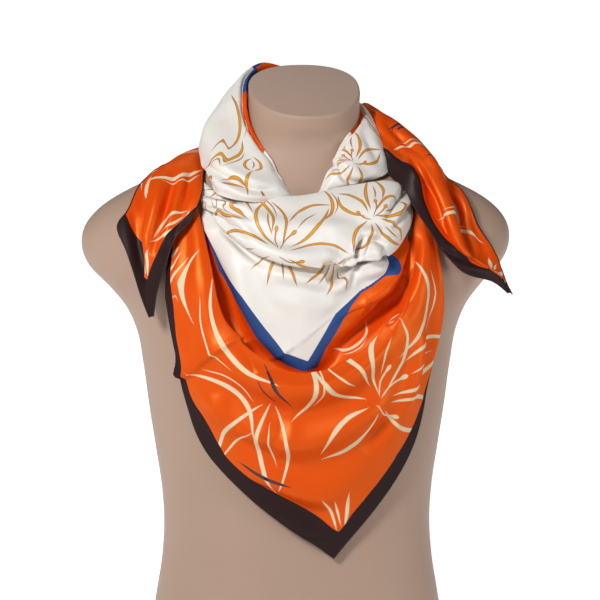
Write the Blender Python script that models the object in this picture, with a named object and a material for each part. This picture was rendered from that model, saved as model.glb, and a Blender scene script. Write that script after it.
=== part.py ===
"""A silk square scarf worn on a limbless dress form.

The square is folded to a triangle. Its point falls on the chest, its two ends pass round the neck, cross
behind it and come forward over the shoulders. Each stretch of the cloth that shows is a wall of its own.
Frame: +Z up, +X to the form's left hand, front towards -Y, origin on the flat foot of the form.
"""

import math
from collections import namedtuple

import bpy
import numpy as np

MM = 0.001
WALL = 1.4  # thickness of the cloth walls, mm
SEAM = 0.8  # gap along the middle of the wall where two stretches of the same cloth meet, mm
STEP = 0.05  # step for slopes, mm

# ---------------------------------------------------------------------------------------------------
# The dress form, mm. Each row is a level section: its height, centre, half width, depths and forward tilt.
FormRow = namedtuple("FormRow", "z lean half_width front back tilt")
FORM_ROWS = [
    FormRow(0, 0, 170, 100, 96, 0),
    FormRow(45, 0, 170, 102, 98, 0),
    FormRow(95, 0, 163, 101, 96, 0),
    FormRow(145, 0, 155, 96, 91, 0),
    FormRow(185, 0, 152, 94, 89, 0),
    FormRow(230, 0, 154, 97, 92, 0),
    FormRow(275, 0, 160, 102, 97, 0),
    FormRow(325, 0, 167, 108, 102, 0),
    FormRow(375, 0, 173, 112, 105, 0),
    FormRow(415, 0, 180, 113, 107, 0),
    FormRow(443, 0, 192, 112, 107, 0),
    FormRow(466, 0, 210, 109, 105, 0),
    FormRow(490, 0, 232, 105, 102, 0),
    FormRow(513, 0, 239, 98, 98, 0),
    FormRow(536, 0, 232, 90, 94, 0),
    FormRow(556, 0, 211, 83, 90, 0),
    FormRow(571, 0, 184, 77, 87, 0),
    FormRow(585, 1, 152, 70, 84, 0),
    FormRow(599, 2, 114, 64, 80, 0.02),
    FormRow(613, 3, 86, 60, 76, 0.05),
    FormRow(627, 4, 71, 58, 71, 0.10),
    FormRow(643, 5, 64, 60, 64, 0.18),
    FormRow(660, 5, 61, 66, 57, 0.28),
    FormRow(677, 5, 60, 72, 49, 0.36),
]
FORM_SQUARENESS = 2.25  # exponent of the sections, 2 is an ellipse
FORM_EDGE = 3.0  # rounding of the rims of the foot and of the neck cap
FORM_RING = 36  # points round a section
FORM_LEVELS = 26  # sections between the two rims

# ---------------------------------------------------------------------------------------------------
# The swags on the chest, mm. A row is one line across the cloth, from the left of the neck down to its low
# place and up to the right. Every place is (x, z, out), where out is its distance in front of the form.
# tip is 0 where the line is round at its low place and 1 where it comes to a point.
Swag = namedtuple("Swag", "left_top left left_mid low right_mid right right_top tip")
SWAGS = [
    # the cowl: its tucked upper edge, the neckline, the belly, the lowest roll and the edge turned under
    Swag((-108, 572, 3), (-97, 568, 5), (-59, 567, 8), (-4, 564, 8), (51, 569, 8), (98, 569, 7), (111, 566, 3), 0),
    Swag((-109, 576, 6), (-98, 573, 9), (-61, 577, 15), (-4, 576, 14), (49, 585, 16), (100, 585, 16), (112, 578, 6), 0),
    Swag((-111, 573, 11), (-100, 571, 16), (-65, 570, 28), (-6, 562, 32), (48, 572, 32), (102, 578, 25), (115, 571, 9), 0),
    Swag((-112, 568, 15), (-102, 565, 21), (-70, 556, 39), (-11, 542, 47), (46, 551, 45), (104, 561, 30), (117, 558, 11), 0),
    Swag((-112, 562, 14), (-102, 559, 21), (-69, 539, 41), (-14, 521, 53), (42, 528, 48), (101, 535, 31), (115, 545, 11), 0),
    Swag((-111, 559, 10), (-100, 554, 16), (-68, 529, 35), (-16, 510, 48), (37, 509, 44), (94, 520, 27), (111, 536, 9), 0),
    Swag((-109, 561, 6), (-96, 557, 11), (-63, 533, 26), (-11, 515, 38), (38, 516, 35), (91, 527, 19), (107, 541, 6), 0),
    # the fall inside it: the turn behind the cowl, its flat face, the valley and the turn to the front
    Swag((-109, 562, 3), (-97, 558, 6), (-60, 538, 16), (-9, 521, 26), (39, 521, 24), (90, 532, 13), (107, 544, 3), 0),
    Swag((-111, 550, 7), (-101, 546, 12), (-70, 516, 26), (-14, 494, 38), (37, 492, 34), (92, 505, 21), (111, 526, 8), 0),
    Swag((-111, 543, 10), (-105, 529, 17), (-76, 485, 25), (-11, 449, 31), (45, 464, 29), (99, 495, 22), (112, 521, 9), 0.2),
    Swag((-111, 538, 8), (-108, 513, 13), (-76, 459, 21), (-5, 395, 27), (35, 449, 25), (90, 490, 20), (111, 519, 8), 0.7),
    Swag((-112, 534, 4), (-108, 498, 7), (-80, 437, 13), (-8, 374, 19), (46, 422, 16), (96, 475, 10), (110, 519, 4), 0.2),
    Swag((-117, 545, 5), (-112, 502, 13), (-85, 428, 26), (-10, 379, 33), (48, 404, 29), (101, 467, 17), (115, 529, 5), 0),
    # the front: the ridge it rolls over, its face, the edge of the border and the hem turned in at the sides
    Swag((-119, 584, 4.2), (-116, 517, 19), (-93, 442, 35), (-10, 396, 43), (63, 420, 37), (109, 484, 23), (124, 577, 3.2), 0),
    Swag((-122, 586, 6), (-122, 514, 26), (-104, 428, 42), (-9, 380, 49), (76, 406, 43), (120, 476, 28), (126, 578, 5), 0),
    Swag((-125, 586, 7), (-133, 506, 26), (-119, 400, 39), (-4, 335, 43), (93, 375, 38), (132, 466, 28), (128, 579, 5), 0),
    Swag((-128, 585, 7), (-143, 494, 20), (-129, 370, 30), (9, 270, 31), (108, 343, 31), (142, 450, 24), (131, 579, 5), 0.15),
    Swag((-132, 584, 8), (-149, 479, 14), (-115, 330, 19), (34, 206, 18), (119, 325, 19), (148, 436, 18), (134, 578, 6), 0.85),
    Swag((-130, 582, 4), (-141, 468, 5), (-118, 315, 12), (30, 173, 11), (121, 300, 12), (139, 424, 6), (131, 576, 4), 0.85),
]
SWAG_PARTS = {"cowl": (0, 6, 15), "inner_fall": (6, 12, 14), "front_fall": (12, 18, 17)}
SWAG_ACROSS = 17  # points along half a swag line

# ---------------------------------------------------------------------------------------------------
# The wrap round the neck, mm. A row is an upright section at an angle from the front, negative to -X. Its
# places are (radius, z) from the wrap's own centre: the tucked inner edge, the crest that makes the
# neckline, the slope, the belly and the foot.
WRAP_CENTRE = (4, -5)
Section = namedtuple("Section", "angle inner crest slope belly foot")
NECK_WRAP = [
    Section(-352, (77, 571), (78, 574), (79, 574), (80, 572), (80, 569)),
    Section(-338, (72, 586), (71, 601), (76, 600), (81, 593), (82, 583)),
    Section(-322, (70, 608), (68, 624), (77, 620), (87, 606), (90, 586)),
    Section(-300, (69, 628), (69, 644), (80, 638), (98, 618), (108, 596)),
    Section(-270, (70, 640), (71, 656), (80, 650), (92, 634), (98, 617)),
    Section(-240, (71, 648), (73, 664), (82, 657), (92, 640), (96, 622)),
    Section(-210, (71, 668), (74, 683), (83, 675), (92, 654), (98, 624)),
    Section(-180, (70, 678), (75, 693), (84, 685), (91, 661), (99, 623)),
    Section(-150, (69, 687), (72, 703), (81, 693), (90, 666), (98, 625)),
    Section(-120, (68, 677), (69, 693), (80, 684), (94, 657), (100, 629)),
    Section(-90, (65, 656), (67, 672), (84, 664), (107, 642), (112, 622)),
    Section(-68, (68, 634), (69, 650), (88, 642), (114, 620), (119, 600)),
    Section(-50, (74, 613), (71, 630), (92, 622), (122, 602), (130, 580)),
    Section(-33, (76, 592), (74, 609), (94, 603), (114, 592), (117, 580)),
    Section(-24, (77, 580), (77, 593), (83, 593), (89, 589), (91, 584)),
    Section(-13, (77, 571), (78, 574), (79, 574), (80, 572), (80, 569)),
]
WRAP_PARTS = {"collar_right": (0, 5, 18), "back_wrap": (5, 9, 15), "collar_left": (9, 15, 20)}
WRAP_DOWN = 14  # points down a section
WRAP_FOLDS = 2.5  # horizontal folds across the nape
WRAP_FOLD = 2.2  # their depth at the middle of the back, mm

# ---------------------------------------------------------------------------------------------------
# The two ends of the square, each a corner that falls over a shoulder, mm. A row is a section across the
# end, from the hem nearer the neck to the outer hem. Its places are (x, y, z).
LeftCorner = namedtuple("LeftCorner", "hem face pleat tuck outer_hem")
TAIL_LEFT = [
    LeftCorner((24, 84, 632), (24, 91, 617), (24, 96, 606), (24, 93, 601), (24, 97, 590)),
    LeftCorner((-18, 83, 631), (-20, 91, 617), (-22, 96, 606), (-22, 93, 600), (-25, 97, 589)),
    LeftCorner((-56, 64, 625), (-69, 70, 615), (-83, 72, 606), (-80, 70, 600), (-94, 75, 593)),
    LeftCorner((-86, 32, 615), (-104, 32, 613), (-119, 30, 606), (-114, 30, 600), (-129, 32, 598)),
    LeftCorner((-102, -18, 606), (-122, -16, 610), (-140, -10, 603), (-134, -5, 597), (-150, 0, 596)),
    LeftCorner((-107, -51, 592), (-130, -50, 600), (-162, -44, 592), (-154, -34, 585), (-173, -30, 584)),
    LeftCorner((-113, -86, 573), (-138, -86, 568), (-172, -80, 564), (-162, -71, 557), (-190, -64, 558)),
    LeftCorner((-124, -100, 553), (-148, -98, 547), (-175, -90, 544), (-164, -82, 539), (-201, -76, 543)),
    LeftCorner((-140, -106, 537), (-157, -105, 527), (-176, -98, 522), (-168, -91, 518), (-192, -85, 519)),
    LeftCorner((-153, -107, 503), (-162, -106, 501), (-174, -100, 498), (-168, -95, 495), (-184, -92, 494)),
    LeftCorner((-161, -105, 477), (-167, -104, 475), (-173, -100, 473), (-171, -96, 471), (-177, -95, 470)),
    LeftCorner((-165, -102, 450), (-166, -101, 450), (-168, -100, 449), (-167, -98, 449), (-169, -97, 448)),
]
RightCorner = namedtuple("RightCorner", "hem dip roll fold outer_hem")
TAIL_RIGHT = [
    RightCorner((-12, 79, 629), (-12, 84, 618), (-12, 89, 609), (-12, 87, 603), (-12, 91, 592)),
    RightCorner((26, 78, 628), (28, 83, 618), (30, 88, 610), (31, 86, 603), (33, 91, 592)),
    RightCorner((65, 64, 622), (75, 67, 618), (84, 70, 614), (90, 69, 605), (99, 72, 598)),
    RightCorner((98, 34, 616), (101, 36, 626), (103, 40, 636), (111, 44, 629), (120, 50, 612)),
    RightCorner((110, -15, 611), (104, -10, 629), (92, 3, 648), (104, 20, 644), (117, 32, 626)),
    RightCorner((105, -46, 593), (115, -39, 607), (120, -24, 627), (137, -5, 621), (147, 10, 606)),
    RightCorner((115, -78, 587), (126, -66, 595), (138, -62, 604), (158, -38, 591), (167, -27, 582)),
    RightCorner((126, -95, 559), (136, -82, 560), (150, -86, 563), (167, -64, 559), (184, -58, 557)),
    RightCorner((136, -103, 533), (144, -92, 536), (158, -99, 534), (172, -81, 531), (196, -67, 530)),
    RightCorner((147, -109, 513), (156, -103, 517), (168, -107, 512), (181, -94, 511), (207, -77, 510)),
    RightCorner((169, -107, 492), (180, -103, 498), (188, -103, 498), (199, -95, 499), (215, -85, 491)),
    RightCorner((203, -99, 480), (207, -98, 480), (212, -97, 479), (215, -94, 479), (220, -91, 476)),
    RightCorner((222, -92, 465), (223, -91, 465), (224, -91, 465), (226, -90, 464), (227, -89, 463)),
]
TAIL_ACROSS = 15
TAIL_ALONG = 23

COLOURS = {
    "dress_form": ((0.42, 0.33, 0.28), 0.55),
    "cowl": ((0.86, 0.83, 0.78), 0.38),
    "inner_fall": ((0.84, 0.81, 0.76), 0.38),
    "front_fall": ((0.83, 0.16, 0.02), 0.36),
    "collar_left": ((0.86, 0.83, 0.78), 0.38),
    "collar_right": ((0.86, 0.83, 0.78), 0.38),
    "back_wrap": ((0.80, 0.15, 0.02), 0.36),
    "tail_left": ((0.83, 0.16, 0.02), 0.36),
    "tail_right": ((0.83, 0.16, 0.02), 0.36),
}


# ---------------------------------------------------------------------------------------------------
# Curves and surfaces
def along(line):
    """The distance along a line of places, at each of them."""
    steps = np.linalg.norm(np.diff(line, axis=0), axis=1)
    return np.concatenate([[0], np.cumsum(steps)])


def curve(knots, values, at):
    """A smooth curve that has the values at the knots, read at each place in at."""
    knots, values, at = np.asarray(knots, float), np.asarray(values, float), np.atleast_1d(at)
    wide = (-1,) + (1,) * (values.ndim - 1)
    step = np.diff(knots).reshape(wide)
    rate = np.diff(values, axis=0) / step
    inner = (rate[:-1] * step[1:] + rate[1:] * step[:-1]) / (step[1:] + step[:-1])
    slope = np.concatenate([rate[:1], inner, rate[-1:]])
    i = np.clip(np.searchsorted(knots, at, "right") - 1, 0, len(step) - 1)
    f = (at - knots[i]).reshape(wide) / step[i]
    return (
        values[i] * (1 + 2 * f) * (1 - f) ** 2
        + values[i + 1] * f**2 * (3 - 2 * f)
        + step[i] * f * (1 - f) * (slope[i] * (1 - f) - slope[i + 1] * f)
    )


def evenly(line, count):
    """The line again, with its points evenly spaced along it."""
    length = along(line)
    at = np.linspace(0, length[-1], count)
    return np.stack([np.interp(at, length, column) for column in line.T], axis=1)


def form_section(z):
    """The form's lean, half width, front and back depth at each height."""
    return curve([row.z for row in FORM_ROWS], [row[1:5] for row in FORM_ROWS], z).T


def form_front(x, z):
    """The y of the form's front face at x and z, mm."""
    lean, half_width, front, _ = form_section(z)
    across = np.clip(np.abs(x - lean) / half_width, 0, 0.995)
    return -front * (1 - across**FORM_SQUARENESS) ** (1 / FORM_SQUARENESS)


def swag_line(row):
    """The places x, y, z of a swag line, as many on each side of its low place."""
    places = np.array(row[:-1], float)
    knots = along(places[:, :2])
    low = knots[3]
    fine = 6 * SWAG_ACROSS
    halves = []
    for at, part in (
        (np.linspace(0, low, fine), slice(0, 4)),
        (np.linspace(low, knots[-1], fine), slice(3, 7)),
    ):
        pointed = curve(knots[part], places[part], at)
        x, z, out = ((1 - row.tip) * curve(knots, places, at) + row.tip * pointed).T
        line = np.stack([x, form_front(x, z) - out, z], axis=1)
        halves.append(evenly(line, SWAG_ACROSS))
    return np.concatenate([halves[0], halves[1][1:]])


def wrap_line(row):
    """The places x, y, z down a section of the neck wrap."""
    places = np.array(row[1:], float)
    knots = along(places)
    radius, z = evenly(curve(knots, places, np.linspace(0, knots[-1], 60)), WRAP_DOWN).T
    turn = math.radians(row.angle)
    down = np.linspace(0, 1, WRAP_DOWN)
    radius = radius + WRAP_FOLD * max(0, -math.cos(turn)) * np.sin(2 * math.pi * WRAP_FOLDS * down) * down
    x = WRAP_CENTRE[0] + radius * math.sin(turn)
    y = WRAP_CENTRE[1] - radius * math.cos(turn)
    return np.stack([x, y, z], axis=1)


def corner_line(row):
    """The places x, y, z across a section of an end of the square."""
    places = np.array(row, float)
    knots = along(places)
    return evenly(curve(knots, places, np.linspace(0, knots[-1], 80)), TAIL_ACROSS)


def sheet(lines, first, last, count):
    """Points and normals of a smooth sheet through the lines, from line first to line last."""
    lines = np.asarray(lines)
    gaps = np.linalg.norm(np.diff(lines, axis=0), axis=2).mean(axis=1)
    knots = np.concatenate([[0], np.cumsum(gaps)])
    by_line = np.interp(np.linspace(first, last, count), np.arange(len(knots)), knots)
    by_length = np.linspace(knots[first], knots[last], count)
    at = (by_line + by_length) / 2
    grid = curve(knots, lines, at)
    onward = curve(knots, lines, at + STEP) - curve(knots, lines, at - STEP)
    onward /= np.linalg.norm(onward, axis=2, keepdims=True)
    normal = np.cross(np.gradient(grid, axis=1), onward)
    grid[0] += onward[0] * SEAM / 2
    grid[-1] -= onward[-1] * SEAM / 2
    return grid, normal / np.linalg.norm(normal, axis=2, keepdims=True)


# ---------------------------------------------------------------------------------------------------
# Making the objects
def finish_of(name):
    colour, roughness = COLOURS[name]
    material = bpy.data.materials.new(name + "_finish")
    material.use_nodes = True
    shader = material.node_tree.nodes["Principled BSDF"]
    shader.inputs["Base Color"].default_value = (*colour, 1)
    shader.inputs["Roughness"].default_value = roughness
    return material


def add_object(name, points, faces):
    mesh = bpy.data.meshes.new(name)
    mesh.from_pydata((np.asarray(points) * MM).tolist(), [], faces)
    mesh.validate()
    mesh.shade_smooth()
    mesh.materials.append(finish_of(name))
    made = bpy.data.objects.new(name, mesh)
    bpy.context.scene.collection.objects.link(made)
    return made


def grid_faces(rows, columns, closed=False):
    """The quads of a grid listed row by row. A closed one joins its last column to its first."""
    faces = []
    for r in range(rows - 1):
        for c in range(columns if closed else columns - 1):
            beside = (c + 1) % columns
            here, there = r * columns, (r + 1) * columns
            faces.append((here + c, here + beside, there + beside, there + c))
    return faces


def cloth_wall(name, grid, normal):
    """A wall of cloth whose middle is the grid, closed round its rim."""
    rows, columns = grid.shape[:2]
    count = rows * columns
    points = np.concatenate([grid + normal * WALL / 2, grid - normal * WALL / 2]).reshape(-1, 3)
    outer = grid_faces(rows, columns)
    inner = [tuple(count + i for i in reversed(face)) for face in outer]
    number = np.arange(count).reshape(rows, columns)
    rim = np.concatenate([number[0], number[1:, -1], number[-1, -2::-1], number[-2:0:-1, 0]]).tolist()
    edge = [(b, a, count + a, count + b) for a, b in zip(rim, rim[1:] + rim[:1])]
    add_object(name, points, outer + inner + edge)


def form_ring(z, lean, half_width, front, back, tilt, inset=0.0):
    """One section of the form, inset from its full size by the rounding of a rim."""
    turn = np.linspace(0, 2 * math.pi, FORM_RING, endpoint=False)
    power = 2 / FORM_SQUARENESS
    along_x = np.sign(np.sin(turn)) * np.abs(np.sin(turn)) ** power
    along_y = -np.sign(np.cos(turn)) * np.abs(np.cos(turn)) ** power
    y = along_y * (np.where(along_y < 0, front, back) - inset)
    middle = (back - front) / 2
    return np.stack([lean + along_x * (half_width - inset), y, z + tilt * (y - middle)], axis=1)


def dress_form():
    """The form, from its flat foot to its flat neck cap."""
    heights = [row.z for row in FORM_ROWS]
    tilts = [row.tilt for row in FORM_ROWS]
    top = heights[-1]
    levels = np.linspace(FORM_EDGE, top - FORM_EDGE, FORM_LEVELS)
    shoulders = np.linspace(heights[9], heights[20], FORM_LEVELS // 2)
    levels = np.unique(np.concatenate([levels, shoulders]))
    rounding = FORM_EDGE * (1 - math.sqrt(0.5))
    foot_rim = [(0, FORM_EDGE), (rounding, rounding)]
    neck_rim = [(top - rounding, rounding), (top, FORM_EDGE)]
    rings = [
        form_ring(z, *form_section(z)[:, 0], np.interp(z, heights, tilts), inset)
        for z, inset in foot_rim + [(z, 0.0) for z in levels] + neck_rim
    ]
    count = len(rings) * FORM_RING
    faces = grid_faces(len(rings), FORM_RING, closed=True)
    faces.append(tuple(range(FORM_RING))[::-1])
    faces.append(tuple(range(count - FORM_RING, count)))
    add_object("dress_form", np.concatenate(rings), faces)


def main():
    for old in list(bpy.data.objects):
        bpy.data.objects.remove(old)
    dress_form()
    swags = [swag_line(row) for row in SWAGS]
    for name, (first, last, count) in SWAG_PARTS.items():
        cloth_wall(name, *sheet(swags, first, last, count))
    sections = [wrap_line(row) for row in NECK_WRAP]
    for name, (first, last, count) in WRAP_PARTS.items():
        cloth_wall(name, *sheet(sections, first, last, count))
    for name, rows in (("tail_left", TAIL_LEFT), ("tail_right", TAIL_RIGHT)):
        corners = [corner_line(row) for row in rows]
        cloth_wall(name, *sheet(corners, 0, len(rows) - 1, TAIL_ALONG))


main()
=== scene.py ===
"""A printed silk square, folded to a triangle and worn on a limbless dress form.

Every length below is in millimetres unless it says otherwise. MM turns it into the scene's metres.
"""

import math
from collections import namedtuple

import bpy
import numpy as np
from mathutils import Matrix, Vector


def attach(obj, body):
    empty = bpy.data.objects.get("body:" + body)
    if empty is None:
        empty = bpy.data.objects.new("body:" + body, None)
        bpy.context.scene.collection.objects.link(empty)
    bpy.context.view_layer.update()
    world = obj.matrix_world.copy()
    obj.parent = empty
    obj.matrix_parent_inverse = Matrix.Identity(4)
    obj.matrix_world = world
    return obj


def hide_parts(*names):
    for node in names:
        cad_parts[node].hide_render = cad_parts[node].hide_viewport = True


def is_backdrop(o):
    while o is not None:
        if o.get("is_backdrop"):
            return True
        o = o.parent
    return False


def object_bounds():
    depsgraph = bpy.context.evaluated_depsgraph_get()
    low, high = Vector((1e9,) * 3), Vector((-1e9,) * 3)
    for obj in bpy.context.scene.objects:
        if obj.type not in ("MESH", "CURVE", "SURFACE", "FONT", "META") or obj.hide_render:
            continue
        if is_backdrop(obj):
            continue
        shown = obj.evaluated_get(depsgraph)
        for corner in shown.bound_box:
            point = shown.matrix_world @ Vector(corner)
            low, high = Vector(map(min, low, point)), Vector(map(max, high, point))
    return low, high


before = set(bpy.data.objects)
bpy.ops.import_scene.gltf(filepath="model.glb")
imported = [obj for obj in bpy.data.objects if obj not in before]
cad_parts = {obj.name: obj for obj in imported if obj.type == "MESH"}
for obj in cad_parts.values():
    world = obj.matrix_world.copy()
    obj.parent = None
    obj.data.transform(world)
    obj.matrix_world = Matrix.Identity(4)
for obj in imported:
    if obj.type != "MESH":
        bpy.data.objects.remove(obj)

CAD_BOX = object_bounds()
MM = 0.001

# ---------------------------------------------------------------------------------------------------
# The square of silk
BORDER = 27.0  # width of the dark border along the hem
FIELD = 150.0  # width of the orange field inside it
STRIPE = 16.0  # width of the blue stripe inside the field
CENTRE = 300.0  # a distance from the hem well inside the off-white centre
IN_FIELD = 100.0  # a distance from the hem well inside the orange field
THICKNESS = 0.5  # of the cloth as it is modelled
HEM_RADIUS = 0.8  # of the hand-rolled hem
HEM_SIDES = 8  # sides of the roll's section
HEM_STEP = 1.6  # from one section to the next
STITCH = 3.2  # length of a hem stitch
WRAP_NODES = ("collar_left", "collar_right", "back_wrap")
CENTRE_NODES = ("cowl", "inner_fall", "collar_left", "collar_right")  # mostly of the off-white centre

# The stretch of the square that each node shows, laid flat: its width across the middle and its mean
# length, in metres, and its area, in square metres. The whole square is 0.9 by 0.9 m.
Cut = namedtuple("Cut", "width length area")

# ---------------------------------------------------------------------------------------------------
# The dress form. Each row is a level section: its height, centre, half width, depths and forward tilt.
FormRow = namedtuple("FormRow", "z lean half_width front back tilt")
FORM_ROWS = [
    FormRow(0, 0, 170, 100, 96, 0),
    FormRow(45, 0, 170, 102, 98, 0),
    FormRow(95, 0, 163, 101, 96, 0),
    FormRow(145, 0, 155, 96, 91, 0),
    FormRow(185, 0, 152, 94, 89, 0),
    FormRow(230, 0, 154, 97, 92, 0),
    FormRow(275, 0, 160, 102, 97, 0),
    FormRow(325, 0, 167, 108, 102, 0),
    FormRow(375, 0, 173, 112, 105, 0),
    FormRow(415, 0, 180, 113, 107, 0),
    FormRow(443, 0, 192, 112, 107, 0),
    FormRow(466, 0, 210, 109, 105, 0),
    FormRow(490, 0, 232, 105, 102, 0),
    FormRow(513, 0, 239, 98, 98, 0),
    FormRow(536, 0, 232, 90, 94, 0),
    FormRow(556, 0, 211, 83, 90, 0),
    FormRow(571, 0, 184, 77, 87, 0),
    FormRow(585, 1, 152, 70, 84, 0),
    FormRow(599, 2, 114, 64, 80, 0.02),
    FormRow(613, 3, 86, 60, 76, 0.05),
    FormRow(627, 4, 71, 58, 71, 0.10),
    FormRow(643, 6, 64, 60, 64, 0.18),
    FormRow(661, 7, 61.5, 66, 57, 0.28),
    FormRow(680.5, 8, 61, 72, 50, 0.36),
]
FORM_SQUARENESS = 2.25  # of its sections: 2 would be an ellipse
FORM_EDGE = 3.0  # rounding of the rims
FORM_RING = 160  # points round a section
FORM_LEVEL = 4.5  # height between sections
FORM_RIM_STEPS = 5  # sections in the rounding of a rim
FORM_SIDE = 0.995  # how far out to its side, from 0 to 1, the form's front face is read

# ---------------------------------------------------------------------------------------------------
# The swags on the chest. A row is one line across the cloth, from the left of the neck down to its low
# place and up to the right. Every place is (x, z, out), where out is its distance in front of the form.
# tip is 0 where the line is round at its low place and 1 where it comes to a point.
Swag = namedtuple("Swag", "left_top left left_mid low right_mid right right_top tip")
SWAGS = [
    # the cowl: its tucked upper edge, the neckline, the belly, the lowest roll and the edge turned under
    Swag((-108, 572, 3), (-97, 568, 5), (-59, 567, 8), (-4, 564, 8),
         (51, 569, 8), (98, 569, 7), (111, 566, 3), 0),
    Swag((-109, 588, 6), (-98, 580, 9), (-61, 577, 15), (-4, 576, 14),
         (49, 585, 16), (100, 585, 16), (112, 578, 6), 0),
    Swag((-111, 586, 10), (-101, 576, 16), (-65, 570, 28), (-6, 562, 32),
         (48, 572, 32), (102, 578, 25), (115, 571, 9), 0),
    Swag((-112, 580, 13), (-103, 569, 21), (-70, 556, 39), (-11, 542, 47),
         (46, 551, 45), (104, 561, 30), (117, 558, 11), 0),
    Swag((-112, 573, 13), (-103, 562, 21), (-69, 539, 41), (-14, 521, 53),
         (42, 528, 48), (101, 535, 31), (115, 545, 11), 0),
    Swag((-111, 567, 9), (-101, 556, 16), (-68, 529, 35), (-16, 510, 48),
         (37, 509, 44), (94, 520, 27), (111, 536, 9), 0),
    Swag((-109, 561, 6), (-96, 557, 11), (-63, 533, 26), (-11, 515, 38),
         (38, 516, 35), (91, 527, 19), (107, 541, 6), 0),
    # the fall inside it: the turn behind the cowl, its flat face, the valley and the turn to the front
    Swag((-109, 562, 3), (-97, 558, 6), (-60, 538, 16), (-9, 521, 26),
         (39, 521, 24), (90, 532, 13), (107, 544, 3), 0),
    Swag((-111, 550, 7), (-101, 546, 12), (-70, 516, 26), (-14, 494, 38),
         (37, 492, 34), (92, 505, 21), (111, 526, 8), 0),
    Swag((-111, 543, 10), (-105, 529, 17), (-76, 485, 25), (-11, 449, 31),
         (45, 464, 29), (99, 495, 22), (112, 521, 9), 0.2),
    Swag((-111, 538, 8), (-108, 513, 13), (-76, 459, 21), (-5, 395, 27),
         (35, 449, 25), (90, 490, 20), (111, 519, 8), 0.7),
    Swag((-112, 534, 4), (-108, 498, 7), (-80, 437, 13), (-8, 374, 19),
         (46, 422, 16), (96, 475, 10), (110, 519, 4), 0.2),
    Swag((-116, 545, 6), (-110, 502, 15), (-88, 431, 27), (-10, 379, 33),
         (48, 404, 29), (101, 467, 17), (115, 529, 5), 0),
    # the front: the ridge it rolls over, its face, the edge of the border and the hem turned in at the sides
    Swag((-119, 584, 4.2), (-106, 514, 26), (-91, 446, 37), (-10, 396, 43),
         (63, 420, 37), (109, 484, 23), (124, 577, 3.2), 0),
    Swag((-122, 586, 6), (-113, 512, 30), (-101, 430, 44), (-9, 380, 49),
         (76, 406, 43), (120, 476, 28), (126, 578, 5), 0),
    Swag((-125, 586, 7), (-131, 506, 27), (-119, 400, 39), (-4, 335, 43),
         (93, 375, 38), (132, 466, 28), (128, 579, 5), 0),
    Swag((-128, 585, 7), (-143, 494, 20), (-129, 370, 30), (9, 270, 31),
         (108, 343, 31), (142, 450, 24), (131, 579, 5), 0.15),
    Swag((-132, 584, 8), (-149, 479, 14), (-115, 330, 19), (34, 206, 18),
         (119, 325, 19), (148, 436, 18), (134, 578, 6), 0.85),
    Swag((-130, 582, 4), (-141, 468, 5), (-118, 315, 12), (30, 173, 11),
         (121, 300, 12), (139, 424, 6), (131, 576, 4), 0.85),
]
# The distance of some of these lines from the square's hem, on the flat cloth.
HemDistance = namedtuple("HemDistance", "line distance")
SWAG_CUT = [
    HemDistance(0, CENTRE + 90),
    HemDistance(6, CENTRE),
    HemDistance(12, BORDER + FIELD * 0.8),
    HemDistance(17, BORDER),
    HemDistance(18, 0),
]
# The swag line along which the front's dark border begins, at some shares of the way across. It comes
# further in up the left side, where the cloth is turned so that the border shows.
BORDER_LINE = [
    (0, 16.4), (0.10, 16.35), (0.13, 16.2), (0.155, 15.95), (0.18, 15.74), (0.21, 15.6), (0.245, 15.55),
    (0.27, 15.6), (0.285, 15.75), (0.296, 16.05), (0.31, 16.45), (0.325, 16.8), (0.34, 16.96), (1, 17),
]
# The two edges of the blue stripe on the inner fall, as (x, z), down the left arm and up the right one.
CENTRE_EDGE = [
    (-113, 553), (-105, 529), (-97, 508), (-89, 496), (-71, 476), (-47, 441), (-27, 416), (-3, 406),
    (13, 433), (27, 456), (41, 468), (54, 480), (67, 486), (81, 496), (85, 505), (85, 526),
]
STRIPE_EDGE = [
    (-115, 550), (-107, 520), (-103, 500), (-96, 482), (-74, 459), (-59, 433), (-38, 407), (-24, 399),
    (-7, 395), (8, 398), (17, 420), (35, 449), (44, 465), (55, 478.5), (68, 484.5), (82, 494), (93, 493),
    (97, 495), (99.5, 499), (100, 503), (98.5, 507.5), (95, 511), (90, 514), (87, 519), (86, 526),
]
LEAST_STRIPE = 0.5  # the least breadth that the stripe is taken to have where those edges meet
# The swag lines between which each chest stretch faces forward. Beyond them it turns in.
FACES = {"cowl": (1.2, 4.6), "inner_fall": (7.4, 10.6), "front_fall": (13.2, 15.6)}
CLEARANCE = 0.9  # between the middle of the chest cloth and the form, at the least
SEAM_EASE = 0.6  # over how much of the way to the next swag line two stretches are brought together
SWAG_ACROSS = 135  # points along half a swag line
LOW = Swag._fields.index("low")  # the number of a swag line's low place
HEM_LINE = len(SWAGS) - 1  # the swag line that is the hem

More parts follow.
